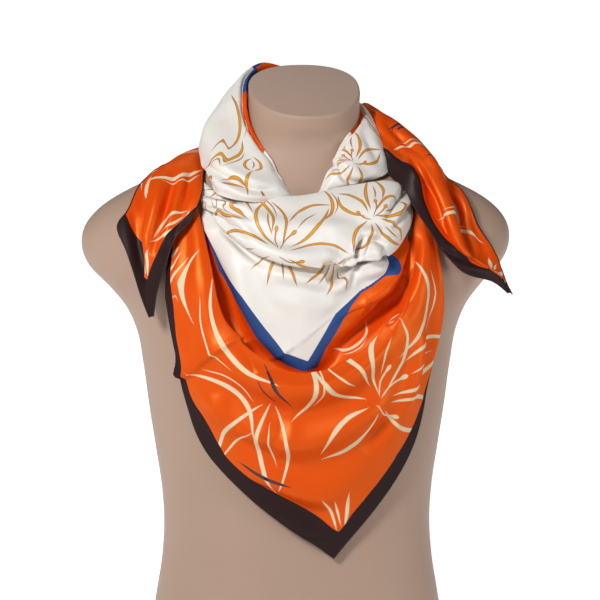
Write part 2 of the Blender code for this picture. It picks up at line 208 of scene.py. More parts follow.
# ---------------------------------------------------------------------------------------------------
# The wrap round the neck. A row is an upright section at an angle from the front, negative to -X. Its
# places are (radius, z) from the wrap's own centre: the tucked inner edge, the crest that makes the
# neckline, the slope, the belly and the foot.
WRAP_CENTRE = (4, -5)
Section = namedtuple("Section", "angle inner crest slope belly foot")
NECK_WRAP = [
    Section(-352, (77, 571), (78, 574), (79, 574), (80, 572), (80, 569)),
    Section(-338, (72, 586), (71, 601), (76, 600), (81, 593), (82, 583)),
    Section(-322, (70, 608), (68, 624), (77, 620), (87, 606), (90, 586)),
    Section(-300, (69, 628), (69, 644), (77, 638), (92, 618), (103, 594)),
    Section(-270, (70, 640), (71, 656), (77, 650), (86, 633), (93, 615)),
    Section(-240, (71, 648), (73, 664), (82, 657), (92, 640), (96, 622)),
    Section(-210, (71, 668), (74, 683), (83, 675), (92, 654), (98, 624)),
    Section(-180, (70, 678), (75, 693), (84, 685), (91, 661), (99, 623)),
    Section(-150, (69, 687), (72, 703), (81, 693), (90, 666), (98, 625)),
    Section(-120, (68, 677), (69, 693), (80, 684), (94, 657), (100, 629)),
    Section(-90, (65, 656), (67, 672), (84, 664), (107, 642), (112, 622)),
    Section(-68, (68, 634), (69, 650), (88, 642), (114, 620), (119, 600)),
    Section(-50, (74, 613), (71, 630), (92, 622), (122, 602), (130, 580)),
    Section(-33, (76, 592), (74, 609), (94, 602), (114, 588), (116, 572)),
    Section(-24, (77, 580), (77, 593), (86, 592), (96, 584), (97, 570)),
    Section(-13, (77, 571), (78, 574), (80, 573), (83, 568), (84, 562)),
]
WRAP_FOLDS = 2.5  # horizontal folds across the nape
WRAP_FOLD = 2.2  # their depth at the middle of the back
WRAP_DOWN = 110  # points down a section
WRAP_RADIUS = 90.0  # of the cylinder that the wrap's creases and zones are laid out on
# The layer of cloth that shows inside the crest, as (radius, z) from the crest.
LAYER_FOOT, LAYER_TOP, LAYER_GROOVE = (-7.0, -11.0), (-6.2, 0.0), (-2.4, -4.0)
LAYER_WIDTH = 17.0  # how far down from the wrap's inner edge the cloth belongs to that layer
UNPRINTED = 1000.0  # how far that layer is moved on the flat cloth, clear of the print
LAYER_STRIPE = (-136, -97)  # the angles between which that layer is blue
LAYER_ORANGE = (-308, -42)  # those between which the rest of it is orange; beyond them it is off-white
# Where the stripe crosses the wrap: the angle of its two edges on each side of the nape.
STRIPE_LEFT = (-150, -137)
STRIPE_RIGHT = (-240, -226)
STRIPE_LEVEL = 695  # the height that those angles are for
STRIPE_LEAN = 0.3  # degrees that the stripe moves for each mm up
NAPE_ANGLE, NAPE_DISTANCE = -190, 80  # where the wrap shows the cloth nearest to the hem, and how near it is
WRAP_GAP = -5  # an angle in the gap between the wrap's two ends, below the throat

# ---------------------------------------------------------------------------------------------------
# The two ends of the square. A row is a section across the end, from the hem nearer the neck to the outer
# hem. Its places are (x, y, z). near_hem and far_hem are how far the cloth's own hem lies beyond the two
# edges of the row: large where the cloth goes on under the collar, small where only its edge is turned in.
LeftCorner = namedtuple("LeftCorner", "hem face pleat tuck outer_hem near_hem far_hem")
TAIL_LEFT = [
    LeftCorner((34, 80, 634), (34, 85, 629), (34, 88, 625),
               (34, 87, 623), (34, 88, 619), 60, 60),
    LeftCorner((-18, 83, 631), (-20, 91, 617), (-22, 96, 606),
               (-22, 93, 600), (-25, 97, 589), 60, 60),
    LeftCorner((-56, 64, 625), (-69, 70, 615), (-83, 72, 606),
               (-80, 70, 600), (-94, 75, 593), 60, 60),
    LeftCorner((-86, 32, 615), (-104, 32, 613), (-119, 30, 606),
               (-114, 30, 600), (-129, 32, 598), 60, 60),
    LeftCorner((-102, -18, 606), (-122, -16, 610), (-140, -10, 603),
               (-134, -5, 597), (-150, 0, 596), 55, 60),
    LeftCorner((-107, -51, 592), (-130, -50, 600), (-162, -44, 592),
               (-154, -34, 585), (-173, -30, 584), 48, 48),
    LeftCorner((-113, -86, 573), (-138, -86, 568), (-172, -80, 564),
               (-160, -67, 557), (-190, -64, 558), 33, 30),
    LeftCorner((-124, -100, 553), (-148, -98, 547), (-175, -90, 544),
               (-162, -78, 539), (-201, -76, 543), 13, 11),
    LeftCorner((-140, -106, 537), (-157, -105, 527), (-176, -98, 522),
               (-165, -86, 518), (-192, -85, 519), 9, 3),
    LeftCorner((-153, -107, 503), (-162, -106, 501), (-174, -100, 498),
               (-166, -91, 495), (-184, -92, 494), 11, 0),
    LeftCorner((-161, -105, 477), (-167, -104, 475), (-173, -100, 473),
               (-171, -96, 471), (-177, -95, 470), 12, 0),
    LeftCorner((-165, -102, 450), (-166, -101, 450), (-168, -100, 449),
               (-167, -98, 449), (-169, -97, 448), 4, 0),
]
RightCorner = namedtuple("RightCorner", "hem edge dip roll fold outer_hem near_hem far_hem")
TAIL_RIGHT = [
    RightCorner((-12, 79, 629), (-12, 82, 623), (-12, 84, 618),
                (-12, 89, 609), (-12, 87, 603), (-12, 91, 592), 60, 60),
    RightCorner((26, 78, 628), (27, 81, 623), (28, 83, 618),
                (30, 88, 610), (31, 86, 603), (33, 91, 592), 60, 60),
    RightCorner((60, 58, 634), (64, 58, 638), (68, 62, 640),
                (78, 66, 632), (90, 69, 608), (99, 72, 598), 60, 60),
    RightCorner((70, 18, 648), (74, 20, 656), (79, 24, 660),
                (90, 32, 655), (111, 42, 632), (120, 50, 612), 60, 60),
    RightCorner((84, -38, 606), (88, -35, 619), (87, -20, 634),
                (90, 3, 653), (104, 20, 646), (117, 32, 626), 12, 60),
    RightCorner((97, -62, 590), (104, -60, 605), (110, -43, 611),
                (121, -23, 628), (137, -5, 621), (147, 10, 606), 3, 50),
    RightCorner((107, -82, 582), (118, -80, 599), (127, -62, 600),
                (140, -62, 608), (158, -36, 591), (167, -27, 582), 2, 32),
    RightCorner((119, -98, 559), (128, -96, 562), (137, -80, 562),
                (152, -88, 566), (167, -62, 559), (184, -58, 557), 12, 26),
    RightCorner((134, -104, 536), (139, -102, 539), (147, -90, 540),
                (160, -101, 537), (172, -79, 532), (196, -67, 530), 16, 26),
    RightCorner((146, -110, 517), (152, -108, 521), (160, -101, 521),
                (170, -109, 515), (181, -93, 511), (207, -77, 510), 14, 26),
    RightCorner((169, -108, 493), (177, -106, 505), (183, -102, 502),
                (190, -104, 500), (199, -94, 499), (215, -85, 491), 9, 26),
    RightCorner((203, -99, 480), (205, -99, 489), (208, -98, 487),
                (212, -97, 485), (215, -94, 481), (220, -91, 476), 11, 25),
    RightCorner((222, -92, 465), (223, -91, 465), (224, -91, 465),
                (225, -91, 465), (226, -90, 464), (227, -89, 463), 8, 16),
]
TAIL_ACROSS = 120  # points across an end

# ---------------------------------------------------------------------------------------------------
# Creases. height is how far the cloth stands out along the crease, negative in a trough, and width is half
# its breadth. On the chest and the ends the places are (x, z), on the wrap they are (angle, z).
Crease = namedtuple("Crease", "height width places")
# A fold that was ironed in: it rises slowly on the left of its line and drops steeply on the right.
Press = namedtuple("Press", "height width places")
PRESS_DROP = 5.0  # how much steeper its drop is
CREASE_ENDS, PRESS_ENDS = 0.7, 0.25  # how slowly each fades towards its ends: the less, the later
CREASE_POINTS = 24  # points along a line of either kind
CREASE_REACH = 4  # how many widths from its line it is felt
SIDE_DIP, SIDE_DIP_AT = 0.3, 1.9  # depth of the dip beside a crease, as a share of its height, and widths out
COWL_CREASES = [
    # the pinched end, with its round lobe, the slits round it and the hollow beside it
    Crease(-3, 7, [(44, 513), (29, 526), (12, 534)]),
    Crease(12, 8, [(61, 526), (68, 522), (75, 519)]),
    Crease(-11, 2.6, [(48, 511), (59, 509), (70, 511), (84, 516)]),
    Crease(-12, 2.8, [(58, 540), (53, 531), (50, 523), (51, 514)]),
    Crease(-6, 3.0, [(61, 536), (72, 534), (82, 528)]),
    Crease(3.5, 5, [(50, 541), (62, 544), (78, 543)]),
    Crease(-5, 2.4, [(34, 510), (44, 516), (53, 519)]),
    Crease(-7, 8, [(11, 508), (20, 508), (31, 509)]),
    # the belly and the two ends
    Crease(-4, 9, [(-87, 562), (-57, 545), (-16, 534), (27, 537)]),
    Crease(3.5, 8, [(-81, 549), (-51, 530), (-12, 522), (22, 525)]),
    Crease(-6, 3.5, [(-112, 560), (-99, 558), (-85, 552), (-62, 538)]),
    Crease(-5.5, 3.2, [(-112, 570), (-96, 567), (-80, 565), (-58, 558)]),
    Crease(-5, 3.0, [(-112, 579), (-98, 575), (-84, 574), (-66, 571)]),
    Crease(3.5, 4, [(-108, 565), (-92, 563), (-74, 555)]),
    Crease(3, 3.5, [(-108, 574), (-94, 571), (-76, 569)]),
    Crease(-5.5, 4.5, [(116, 577), (101, 571), (84, 553)]),
    Crease(-4.5, 3.5, [(118, 562), (104, 558), (90, 543)]),
    Crease(4, 4.5, [(116, 569), (103, 564), (88, 549)]),
    Crease(-3.5, 9, [(20, 566), (44, 556), (72, 552), (96, 556)]),
    Crease(-3, 7, [(-70, 573), (-42, 566), (-10, 560)]),
    Crease(2.5, 7, [(-20, 552), (10, 548), (40, 552), (64, 560)]),
]
INNER_CREASES = [
    # the shadow under the cowl, the two lobes of its pinched end and the hollow beside them
    Crease(-5, 4, [(-93, 544), (-80, 533), (-64, 520), (-46, 507)]),
    Crease(-8, 3.0, [(50, 507), (61, 509), (72, 511), (84, 514)]),
    Crease(10, 6.5, [(48, 501), (58, 502), (72, 502), (88, 506)]),
    Crease(-5.5, 2.6, [(54, 501), (65, 501), (79, 503)]),
    Crease(7, 3.5, [(46, 507), (40, 497), (32, 486)]),
    Crease(-13, 6.5, [(16, 494), (26, 497), (35, 502), (42, 508)]),
    Crease(4, 5, [(-42, 501), (-22, 498), (-1, 493), (16, 488)]),
    Crease(-3, 7, [(-46, 488), (-18, 483), (8, 479), (34, 474)]),
    # the flat face and the fold pressed into it
    Crease(-2, 10, [(-67, 506), (-53, 483), (-33, 454)]),
    Crease(2, 12, [(-12, 489), (-7, 452), (-11, 419)]),
    Crease(-2, 8, [(46, 486), (30, 463), (12, 440)]),
    Press(2.2, 7, [(-56, 393), (-46, 401), (-37, 407), (-27, 416), (-18, 422)]),
    Press(1.6, 5, [(-34, 411), (-27, 416), (-13, 426), (5, 440), (24, 454)]),
    # the deep valley inside the ridge on the left, and the shallower one on the right
    Crease(-14, 12, [(-108, 540), (-103, 515), (-96, 488), (-88, 463), (-78, 442), (-66, 424)]),
    Crease(-6, 9, [(-70, 430), (-52, 412), (-34, 398), (-14, 391)]),
    Crease(5, 7, [(101, 502), (84, 485), (60, 467), (39, 449)]),
    Crease(-10, 7, [(110, 494), (95, 470), (74, 450), (46, 428), (22, 410)]),
    Crease(5, 4, [(104, 490), (93, 474), (84, 462)]),
    Crease(-5, 3, [(66, 470), (61, 460), (58, 450)]),
]
FRONT_CREASES = [
    # the folds inside its right edge
    Crease(-9, 5, [(120, 531), (113, 505), (106, 482), (94, 462), (80, 443)]),
    Crease(4, 8, [(128, 540), (126, 505), (118, 467), (104, 440)]),
    Crease(-4.5, 4, [(100, 471), (93, 457), (82, 444)]),
    # the folds down its left side
    Crease(-4, 7, [(-127, 560), (-131, 513), (-134, 472), (-131, 430)]),
    Crease(3, 6, [(-145, 505), (-145, 458), (-141, 408)]),
    Crease(-2.5, 5, [(-150, 470), (-148, 430), (-140, 390)]),
    # the fold pressed into it and the soft swags
    Press(8.0, 10, [(-153, 371), (-140, 382), (-127, 391), (-108, 414), (-88, 427), (-74, 434)]),
    Press(3.5, 8, [(-60, 398), (-50, 402), (-38, 408), (-24, 416)]),
    Crease(6.0, 9, [(-95, 423), (-62, 394), (-14, 382), (40, 392), (78, 420), (104, 455)]),
    Crease(-8.0, 13, [(-112, 410), (-72, 368), (-13, 350), (48, 366), (96, 404)]),
    Crease(5.5, 11, [(-120, 376), (-80, 340), (-16, 318), (40, 334), (84, 368)]),
    Crease(-5.5, 13, [(-118, 352), (-76, 310), (-20, 284), (36, 298), (86, 336)]),
    Crease(4.4, 12, [(-92, 306), (-43, 272), (14, 254), (64, 278)]),
    Crease(-4.0, 10, [(-62, 272), (-20, 240), (14, 226), (50, 240)]),
    Crease(3.0, 8, [(-30, 224), (8, 204), (50, 220)]),
    Crease(-6.0, 7, [(137, 470), (134, 408), (124, 350)]),
    Crease(5.0, 8, [(122, 430), (116, 384), (100, 336)]),
    Crease(-5.0, 8, [(60, 300), (74, 322), (96, 350)]),
    Crease(4.0, 9, [(-104, 372), (-98, 340), (-84, 312)]),
    Crease(-3.5, 7, [(-40, 372), (-34, 338), (-46, 300)]),
]
WRAP_CREASES = [
    # the roll at the left foot and the gathers beside it
    Crease(-6, 3.5, [(-62, 606), (-49, 599), (-41, 593), (-35, 588), (-30, 584), (-22, 583)]),
    Crease(3.5, 4.5, [(-52, 590), (-43, 584), (-37, 579), (-31, 578), (-19, 574)]),
    Crease(-5, 3, [(-70, 600), (-60, 592), (-53, 584), (-49, 578)]),
    Crease(3, 3, [(-73, 598), (-64, 588), (-57, 580)]),
    Crease(-4.5, 2.8, [(-78, 606), (-69, 592), (-63, 582)]),
    # the left slope
    Crease(-3, 8, [(-88, 669), (-63, 641), (-46, 613), (-34, 593)]),
    Crease(2.5, 8, [(-77, 650), (-60, 627), (-46, 606)]),
    Crease(-2, 6, [(-104, 668), (-92, 645), (-84, 620)]),
    # the right slope
    Crease(-4, 3.5, [(-341, 600), (-335, 605), (-333, 595), (-326, 584)]),
    Crease(2.5, 6, [(-329, 611), (-324, 599), (-315, 586)]),
    Crease(-2.5, 6, [(-290, 649), (-304, 630), (-304, 600)]),
    Crease(-3, 3.5, [(-330, 590), (-318, 586), (-304, 590)]),
    # the nape
    Crease(-2.5, 4, [(-240, 648), (-215, 655), (-190, 668), (-160, 676)]),
    Crease(-2.2, 5, [(-205, 640), (-175, 644), (-140, 655), (-112, 660)]),
    Crease(2.0, 5, [(-225, 636), (-185, 640), (-150, 640)]),
]
LEFT_CREASES = [
    Crease(-6, 5, [(-136, 602), (-147, 572), (-158, 543), (-166, 517)]),
    Crease(-5, 4.5, [(-119, 599), (-127, 580), (-138, 560)]),
    Crease(4, 6, [(-154, 595), (-161, 568), (-167, 538)]),
    Crease(-3, 5, [(-184, 562), (-180, 530), (-175, 495)]),
    Crease(3.5, 5, [(-127, 592), (-139, 565), (-150, 540), (-158, 515)]),
    # behind the neck
    Crease(-3, 4, [(22, 624), (-20, 613), (-64, 611), (-100, 604)]),
    Crease(2.5, 4, [(-4, 604), (-36, 602), (-76, 600)]),
]
RIGHT_CREASES = [
    Crease(-8, 4.5, [(160, 590), (169, 559), (175, 534), (184, 507)]),
    Crease(-4, 6, [(183, 550), (194, 522), (204, 500)]),
    Crease(4.5, 7, [(134, 600), (149, 568), (156, 539), (162, 516)]),
    Crease(-6, 3.5, [(118, 612), (134, 585), (146, 556), (156, 528)]),
    Crease(-3.5, 4, [(143, 520), (168, 507), (200, 496)]),
    Crease(3, 6, [(190, 535), (202, 510), (212, 492)]),
    Crease(-4, 4, [(96, 646), (118, 622), (134, 610)]),
    # behind the neck
    Crease(-3, 4, [(30, 614), (62, 628), (92, 634)]),
    Crease(2.5, 4, [(40, 602), (74, 612), (104, 618)]),
]

# ---------------------------------------------------------------------------------------------------
# The print's line drawings, each about 1 high with its foot at (0, 0), apart from the lily, whose middle is
# there. A line's pen is its breadth as a share of the pen's on that stretch.
Line = namedtuple("Line", "pen places")
Ball = namedtuple("Ball", "pen places")  # a line with a round end
LILY = [
    Line(1.1, [(-0.03, 0.12), (-0.17, 0.34), (-0.25, 0.62), (-0.17, 0.86), (0.00, 1.02)]),
    Line(0.9, [(0.03, 0.96), (0.17, 0.76), (0.19, 0.52), (0.12, 0.28), (0.07, 0.14)]),
    Line(0.5, [(-0.05, 0.34), (-0.08, 0.54), (-0.05, 0.74)]),
    Line(1.0, [(0.24, 0.52), (0.40, 0.70), (0.64, 0.80), (0.90, 0.74)]),
    Line(1.1, [(0.86, 0.66), (0.72, 0.45), (0.46, 0.23), (0.18, 0.10)]),
    Line(0.5, [(0.34, 0.38), (0.50, 0.53), (0.66, 0.62)]),
    Line(1.0, [(0.18, 0.02), (0.46, 0.09), (0.76, 0.03), (1.00, -0.16)]),
    Line(1.1, [(0.93, -0.23), (0.70, -0.34), (0.38, -0.28), (0.12, -0.10)]),
    Line(1.1, [(0.01, -0.14), (-0.04, -0.40), (-0.20, -0.64), (-0.44, -0.80)]),
    Line(0.9, [(-0.49, -0.71), (-0.47, -0.48), (-0.32, -0.24), (-0.12, -0.08)]),
    Line(1.0, [(-0.16, 0.00), (-0.40, -0.02), (-0.68, 0.10), (-0.94, 0.36)]),
    Line(1.1, [(-0.87, 0.43), (-0.64, 0.47), (-0.36, 0.36), (-0.14, 0.17)]),
    Line(0.5, [(-0.34, 0.15), (-0.52, 0.19), (-0.70, 0.29)]),
    Ball(1.1, [(0.03, 0.08), (0.12, 0.22), (0.28, 0.33)]),
    Ball(1.1, [(-0.01, 0.10), (-0.02, 0.24), (0.03, 0.42)]),
    Ball(1.0, [(0.00, -0.04), (0.12, -0.14), (0.30, -0.16)]),
]
BUD = [
    Line(1.2, [(0.00, 0.00), (0.05, 0.22), (0.02, 0.42), (-0.05, 0.56)]),
    Line(1.0, [(-0.09, 0.58), (-0.19, 0.68), (-0.18, 0.84), (-0.02, 1.02)]),
    Line(1.0, [(0.00, 0.57), (0.13, 0.68), (0.13, 0.84), (0.03, 0.96)]),
    Line(0.5, [(-0.04, 0.65), (-0.05, 0.78), (-0.01, 0.89)]),
    Line(1.0, [(0.07, 0.17), (0.20, 0.30), (0.40, 0.37), (0.60, 0.31)]),
    Line(0.8, [(0.55, 0.26), (0.38, 0.19), (0.20, 0.15), (0.06, 0.10)]),
]
LEAVES = [
    Line(1.1, [(0.01, 0.02), (0.15, 0.26), (0.19, 0.56), (0.06, 1.00)]),
    Line(0.9, [(0.01, 0.93), (-0.10, 0.66), (-0.11, 0.34), (-0.04, 0.06)]),
    Line(0.5, [(0.03, 0.20), (0.06, 0.44), (0.03, 0.70)]),
    Line(1.0, [(0.10, 0.02), (0.33, 0.12), (0.54, 0.32), (0.64, 0.68)]),
    Line(0.6, [(0.57, 0.58), (0.44, 0.42), (0.30, 0.31), (0.20, 0.24)]),
]
FAN = [
    Line(0.9, [(-0.04, 0.12), (-0.10, 0.50), (-0.26, 0.92)]),
    Line(0.6, [(0.07, 0.16), (0.07, 0.46), (0.02, 0.78)]),
    Line(0.9, [(0.16, 0.10), (0.30, 0.46), (0.38, 0.94)]),
    Line(0.6, [(0.28, 0.10), (0.52, 0.32), (0.74, 0.62)]),
]
ARC = [
    Line(1.1, [(0.00, 0.00), (0.12, 0.22), (0.17, 0.50), (0.10, 0.78), (-0.08, 1.00)]),
    Line(0.45, [(0.16, 0.10), (0.26, 0.32), (0.28, 0.54), (0.20, 0.74)]),
]
TICKS = [
    Line(0.75, [(0.00, 0.00), (0.05, 0.50), (0.00, 1.00)]),
    Line(0.45, [(0.24, 0.20), (0.25, 0.45), (0.22, 0.78)]),
]
# Where they are printed. at is a place on the stretch, as its share of the way across and of the way
# down, turn is in degrees to the left of straight up, size in mm, and side is -1 for a mirrored drawing.
Motif = namedtuple("Motif", "drawing at turn size side")
# The greatest breadth of a pen line on each stretch.
PENS = {
    "front_fall": 4.9,
    "inner_fall": 3.5,
    "cowl": 3.6,
    "collar_left": 3.4,
    "collar_right": 3.2,
    "back_wrap": 3.6,
    "tail_left": 4.6,
    "tail_right": 4.6,
}
PRINTS = {
    "front_fall": [
        Motif(LILY, (0.62, 0.48), -14, 96, 1),
        Motif(LEAVES, (0.44, 0.42), 186, 108, 1),
        Motif(ARC, (0.22, 0.20), 206, 128, 1),
        Motif(ARC, (0.29, 0.56), 232, 96, -1),
        Motif(FAN, (0.50, 0.86), 8, 48, 1),
        Motif(ARC, (0.49, 0.04), 172, 74, -1),
        Motif(ARC, (0.84, 0.22), 172, 104, -1),
        Motif(ARC, (0.15, 0.34), 172, 76, 1),
        Motif(TICKS, (0.42, 0.22), 208, 58, 1),
        Motif(TICKS, (0.37, 0.78), 246, 62, 1),
        Motif(TICKS, (0.62, 0.84), -40, 38, 1),
    ],
    "inner_fall": [
        Motif(ARC, (0.63, 0.80), -58, 46, 1),
        Motif(FAN, (0.44, 0.18), 176, 46, 1),
        Motif(FAN, (0.62, 0.22), 150, 40, -1),
    ],
    "cowl": [
        Motif(LILY, (0.43, 0.74), 8, 70, 1),
        Motif(LILY, (0.77, 0.52), -60, 46, -1),
        Motif(ARC, (0.60, 0.10), 176, 46, -1),
        Motif(ARC, (0.05, 0.34), 246, 62, -1),
        Motif(LEAVES, (0.03, 0.62), 240, 54, -1),
        Motif(ARC, (0.25, 0.04), 212, 54, -1),
    ],
    "collar_left": [
        Motif(ARC, (0.16, 0.34), -138, 84, -1),
        Motif(BUD, (0.80, 0.90), 24, 50, -1),
        Motif(ARC, (0.42, 0.94), -10, 46, 1),
    ],
    "collar_right": [
        Motif(LILY, (0.34, 0.66), 14, 40, 1),
        Motif(ARC, (0.72, 0.92), 8, 40, -1),
        Motif(TICKS, (0.70, 0.46), -10, 24, 1),
    ],
    "back_wrap": [
        Motif(LILY, (0.48, 0.52), 0, 58, 1),
        Motif(LEAVES, (0.16, 0.70), 10, 54, 1),
        Motif(ARC, (0.82, 0.30), 160, 62, -1),
        Motif(TICKS, (0.70, 0.74), -50, 34, 1),
    ],
    "tail_left": [
        Motif(ARC, (0.03, 0.36), -122, 60, 1),
        Motif(ARC, (0.04, 0.50), -128, 62, 1),
        Motif(LEAVES, (0.06, 0.68), -140, 50, 1),
        Motif(ARC, (0.70, 0.44), 190, 76, -1),
        Motif(FAN, (0.34, 0.88), -4, 32, 1),
        Motif(LILY, (0.46, 0.18), 0, 54, 1),
        Motif(TICKS, (0.66, 0.66), 186, 30, 1),
    ],
    "tail_right": [
        Motif(ARC, (0.26, 0.31), -132, 74, -1),
        Motif(ARC, (0.30, 0.44), -128, 76, -1),
        Motif(ARC, (0.30, 0.70), -122, 62, -1),
        Motif(FAN, (0.50, 0.90), -60, 30, 1),
        Motif(LILY, (0.45, 0.16), 0, 54, 1),
        Motif(TICKS, (0.50, 0.42), -72, 30, 1),
        Motif(TICKS, (0.50, 0.53), -84, 28, 1),
    ],
}


# ---------------------------------------------------------------------------------------------------
# Curves and surfaces
LINE_STEPS = 4  # places worked out along a smooth line for each that it keeps
SWAG_STEPS = 2  # the same along a swag line


def along(line):
    """The distance along a line of places, at each of them."""
    steps = np.linalg.norm(np.diff(line, axis=0), axis=1)
    return np.concatenate([[0], np.cumsum(steps)])


def curve(knots, values, at):
    """A smooth curve that has the values at the knots, read at each place in at."""
    knots, values, at = np.asarray(knots, float), np.asarray(values, float), np.atleast_1d(at)
    wide = (-1,) + (1,) * (values.ndim - 1)
    step = np.diff(knots).reshape(wide)
    rate = np.diff(values, axis=0) / step
    inner = (rate[:-1] * step[1:] + rate[1:] * step[:-1]) / (step[1:] + step[:-1])
    slope = np.concatenate([rate[:1], inner, rate[-1:]])
    i = np.clip(np.searchsorted(knots, at, "right") - 1, 0, len(step) - 1)
    f = (at - knots[i]).reshape(wide) / step[i]
    return (
        values[i] * (1 + 2 * f) * (1 - f) ** 2
        + values[i + 1] * f**2 * (3 - 2 * f)
        + step[i] * f * (1 - f) * (slope[i] * (1 - f) - slope[i + 1] * f)
    )


def evenly(line, count):
    """The line again, with its points evenly spaced along it."""
    length = along(line)
    at = np.linspace(0, length[-1], count)
    return np.stack([np.interp(at, length, column) for column in line.T], axis=1)


def smooth_line(places, count):
    """A smooth line through the places."""
    places = np.asarray(places, float)
    knots = along(places)
    return evenly(curve(knots, places, np.linspace(0, knots[-1], LINE_STEPS * count)), count)


def unit(vectors):
    """The vectors, each made 1 long."""
    return vectors / np.linalg.norm(vectors, axis=-1, keepdims=True)


def form_section(z):
    """The form's lean, half width, front and back depth at each height."""
    return curve([row.z for row in FORM_ROWS], [row[1:5] for row in FORM_ROWS], z).T


def form_front(x, z):
    """The y of the form's front face at x and z."""
    lean, half_width, front, _ = form_section(z)
    across = np.clip(np.abs(x - lean) / half_width, 0, FORM_SIDE)
    return -front * (1 - across**FORM_SQUARENESS) ** (1 / FORM_SQUARENESS)


def swag_line(row):
    """The places x, y, z of a swag line, as many on each side of its low place."""
    places = np.array(row[:-1], float)
    knots = along(places[:, :2])
    low = knots[LOW]
    halves = []
    for at, part in (
        (np.linspace(0, low, SWAG_STEPS * SWAG_ACROSS), slice(0, LOW + 1)),
        (np.linspace(low, knots[-1], SWAG_STEPS * SWAG_ACROSS), slice(LOW, None)),
    ):
        pointed = curve(knots[part], places[part], at)
        x, z, out = ((1 - row.tip) * curve(knots, places, at) + row.tip * pointed).T
        line = np.stack([x, form_front(x, z) - out, z], axis=1)
        halves.append(evenly(line, SWAG_ACROSS))
    return np.concatenate([halves[0], halves[1][1:]])


def wrap_line(row):
    """The places x, y, z down a section of the neck wrap, from the layer inside it to its foot."""
    crest = np.array(row.crest)
    places = [crest + LAYER_FOOT, crest + LAYER_TOP, crest + LAYER_GROOVE, *row[2:]]
    radius, z = smooth_line(places, WRAP_DOWN).T
    turn = math.radians(row.angle)
    down = np.linspace(0, 1, WRAP_DOWN)
    radius = radius + WRAP_FOLD * max(0, -math.cos(turn)) * np.sin(2 * math.pi * WRAP_FOLDS * down) * down
    x = WRAP_CENTRE[0] + radius * math.sin(turn)
    y = WRAP_CENTRE[1] - radius * math.cos(turn)
    return np.stack([x, y, z], axis=1)


Sheet = namedtuple("Sheet", "grid normal line")


def normals_of(grid):
    """The way out of the cloth at each of its points, away from the middle of the form."""
    normal = unit(np.cross(np.gradient(grid, axis=1), np.gradient(grid, axis=0)))
    return normal * np.sign((normal[..., :2] * grid[..., :2]).sum())


def sheet_through(lines, first, last, count):
    """A smooth sheet through the lines, from line first to line last, and the line number of each row."""
    lines = np.asarray(lines)
    gaps = np.linalg.norm(np.diff(lines, axis=0), axis=2).mean(axis=1)
    knots = np.concatenate([[0], np.cumsum(gaps)])
    number = np.arange(len(knots))
    by_line = np.interp(np.linspace(first, last, count), number, knots)
    by_length = np.linspace(knots[first], knots[last], count)
    at = (by_line + by_length) / 2
    grid = curve(knots, lines, at)
    return Sheet(grid, normals_of(grid), np.interp(at, knots, number))


Nearest = namedtuple("Nearest", "gap side share")


def nearest(line, places):
    """How far each place is from the line, how far to its left, and how far along it, from 0 to 1."""
    gap = np.full(len(places), np.inf)
    side, share = np.zeros(len(places)), np.zeros(len(places))
    length = along(line)
    for a, b, start, end in zip(line[:-1], line[1:], length[:-1], length[1:]):
        run, reach = b - a, places - a
        t = np.clip(reach @ run / max(run @ run, 1e-9), 0, 1)
        found = np.linalg.norm(reach - t[:, None] * run, axis=1)
        left = np.where(run[0] * reach[:, 1] > run[1] * reach[:, 0], 1, -1)
        closer = found < gap
        gap = np.where(closer, found, gap)
        side = np.where(closer, left * found, side)
        share = np.where(closer, (start + t * (end - start)) / length[-1], share)
    return Nearest(gap, side, share)


def around(line, places, reach):
    """The numbers of the places that lie within reach of the line's own box."""
    low, high = line.min(axis=0) - reach, line.max(axis=0) + reach
    return np.flatnonzero(((places > low) & (places < high)).all(axis=1))


def creased(sheet, layout, creases):
    """The sheet again, moved out and in along its creases, whose places are on the layout."""
    places = layout.reshape(-1, 2)
    out = np.zeros(len(places))
    for crease in creases:
        line = smooth_line(crease.places, CREASE_POINTS)
        close = around(line, places, CREASE_REACH * crease.width)
        found = nearest(line, places[close])
        across = found.gap / crease.width
        if isinstance(crease, Press):
            ends = np.sin(math.pi * found.share) ** PRESS_ENDS
            profile = np.exp(-across * np.where(found.side > 0, 1, PRESS_DROP))
        else:
            ends = np.sin(math.pi * found.share) ** CREASE_ENDS
            profile = np.exp(-(across**2)) - SIDE_DIP * np.exp(-((across - SIDE_DIP_AT) ** 2))
        out[close] += crease.height * ends * profile
    grid = sheet.grid + sheet.normal * out.reshape(sheet.grid.shape[:2])[..., None]
    return Sheet(grid, normals_of(grid), sheet.line)


# ---------------------------------------------------------------------------------------------------
# The flat cloth and its print
FLAT_ROWS, FLAT_COLUMNS = 25, 41  # the sparse grid that is laid flat
FLAT_ROUNDS = 700  # of pulling
FLAT_EASE = 9  # a round moves each point by the pulls on it over this number


def picked(count, most):
    """The numbers of some of the count rows, evenly spread from first to last: as many as most says."""
    return np.unique(np.linspace(0, count - 1, most).round().astype(int))


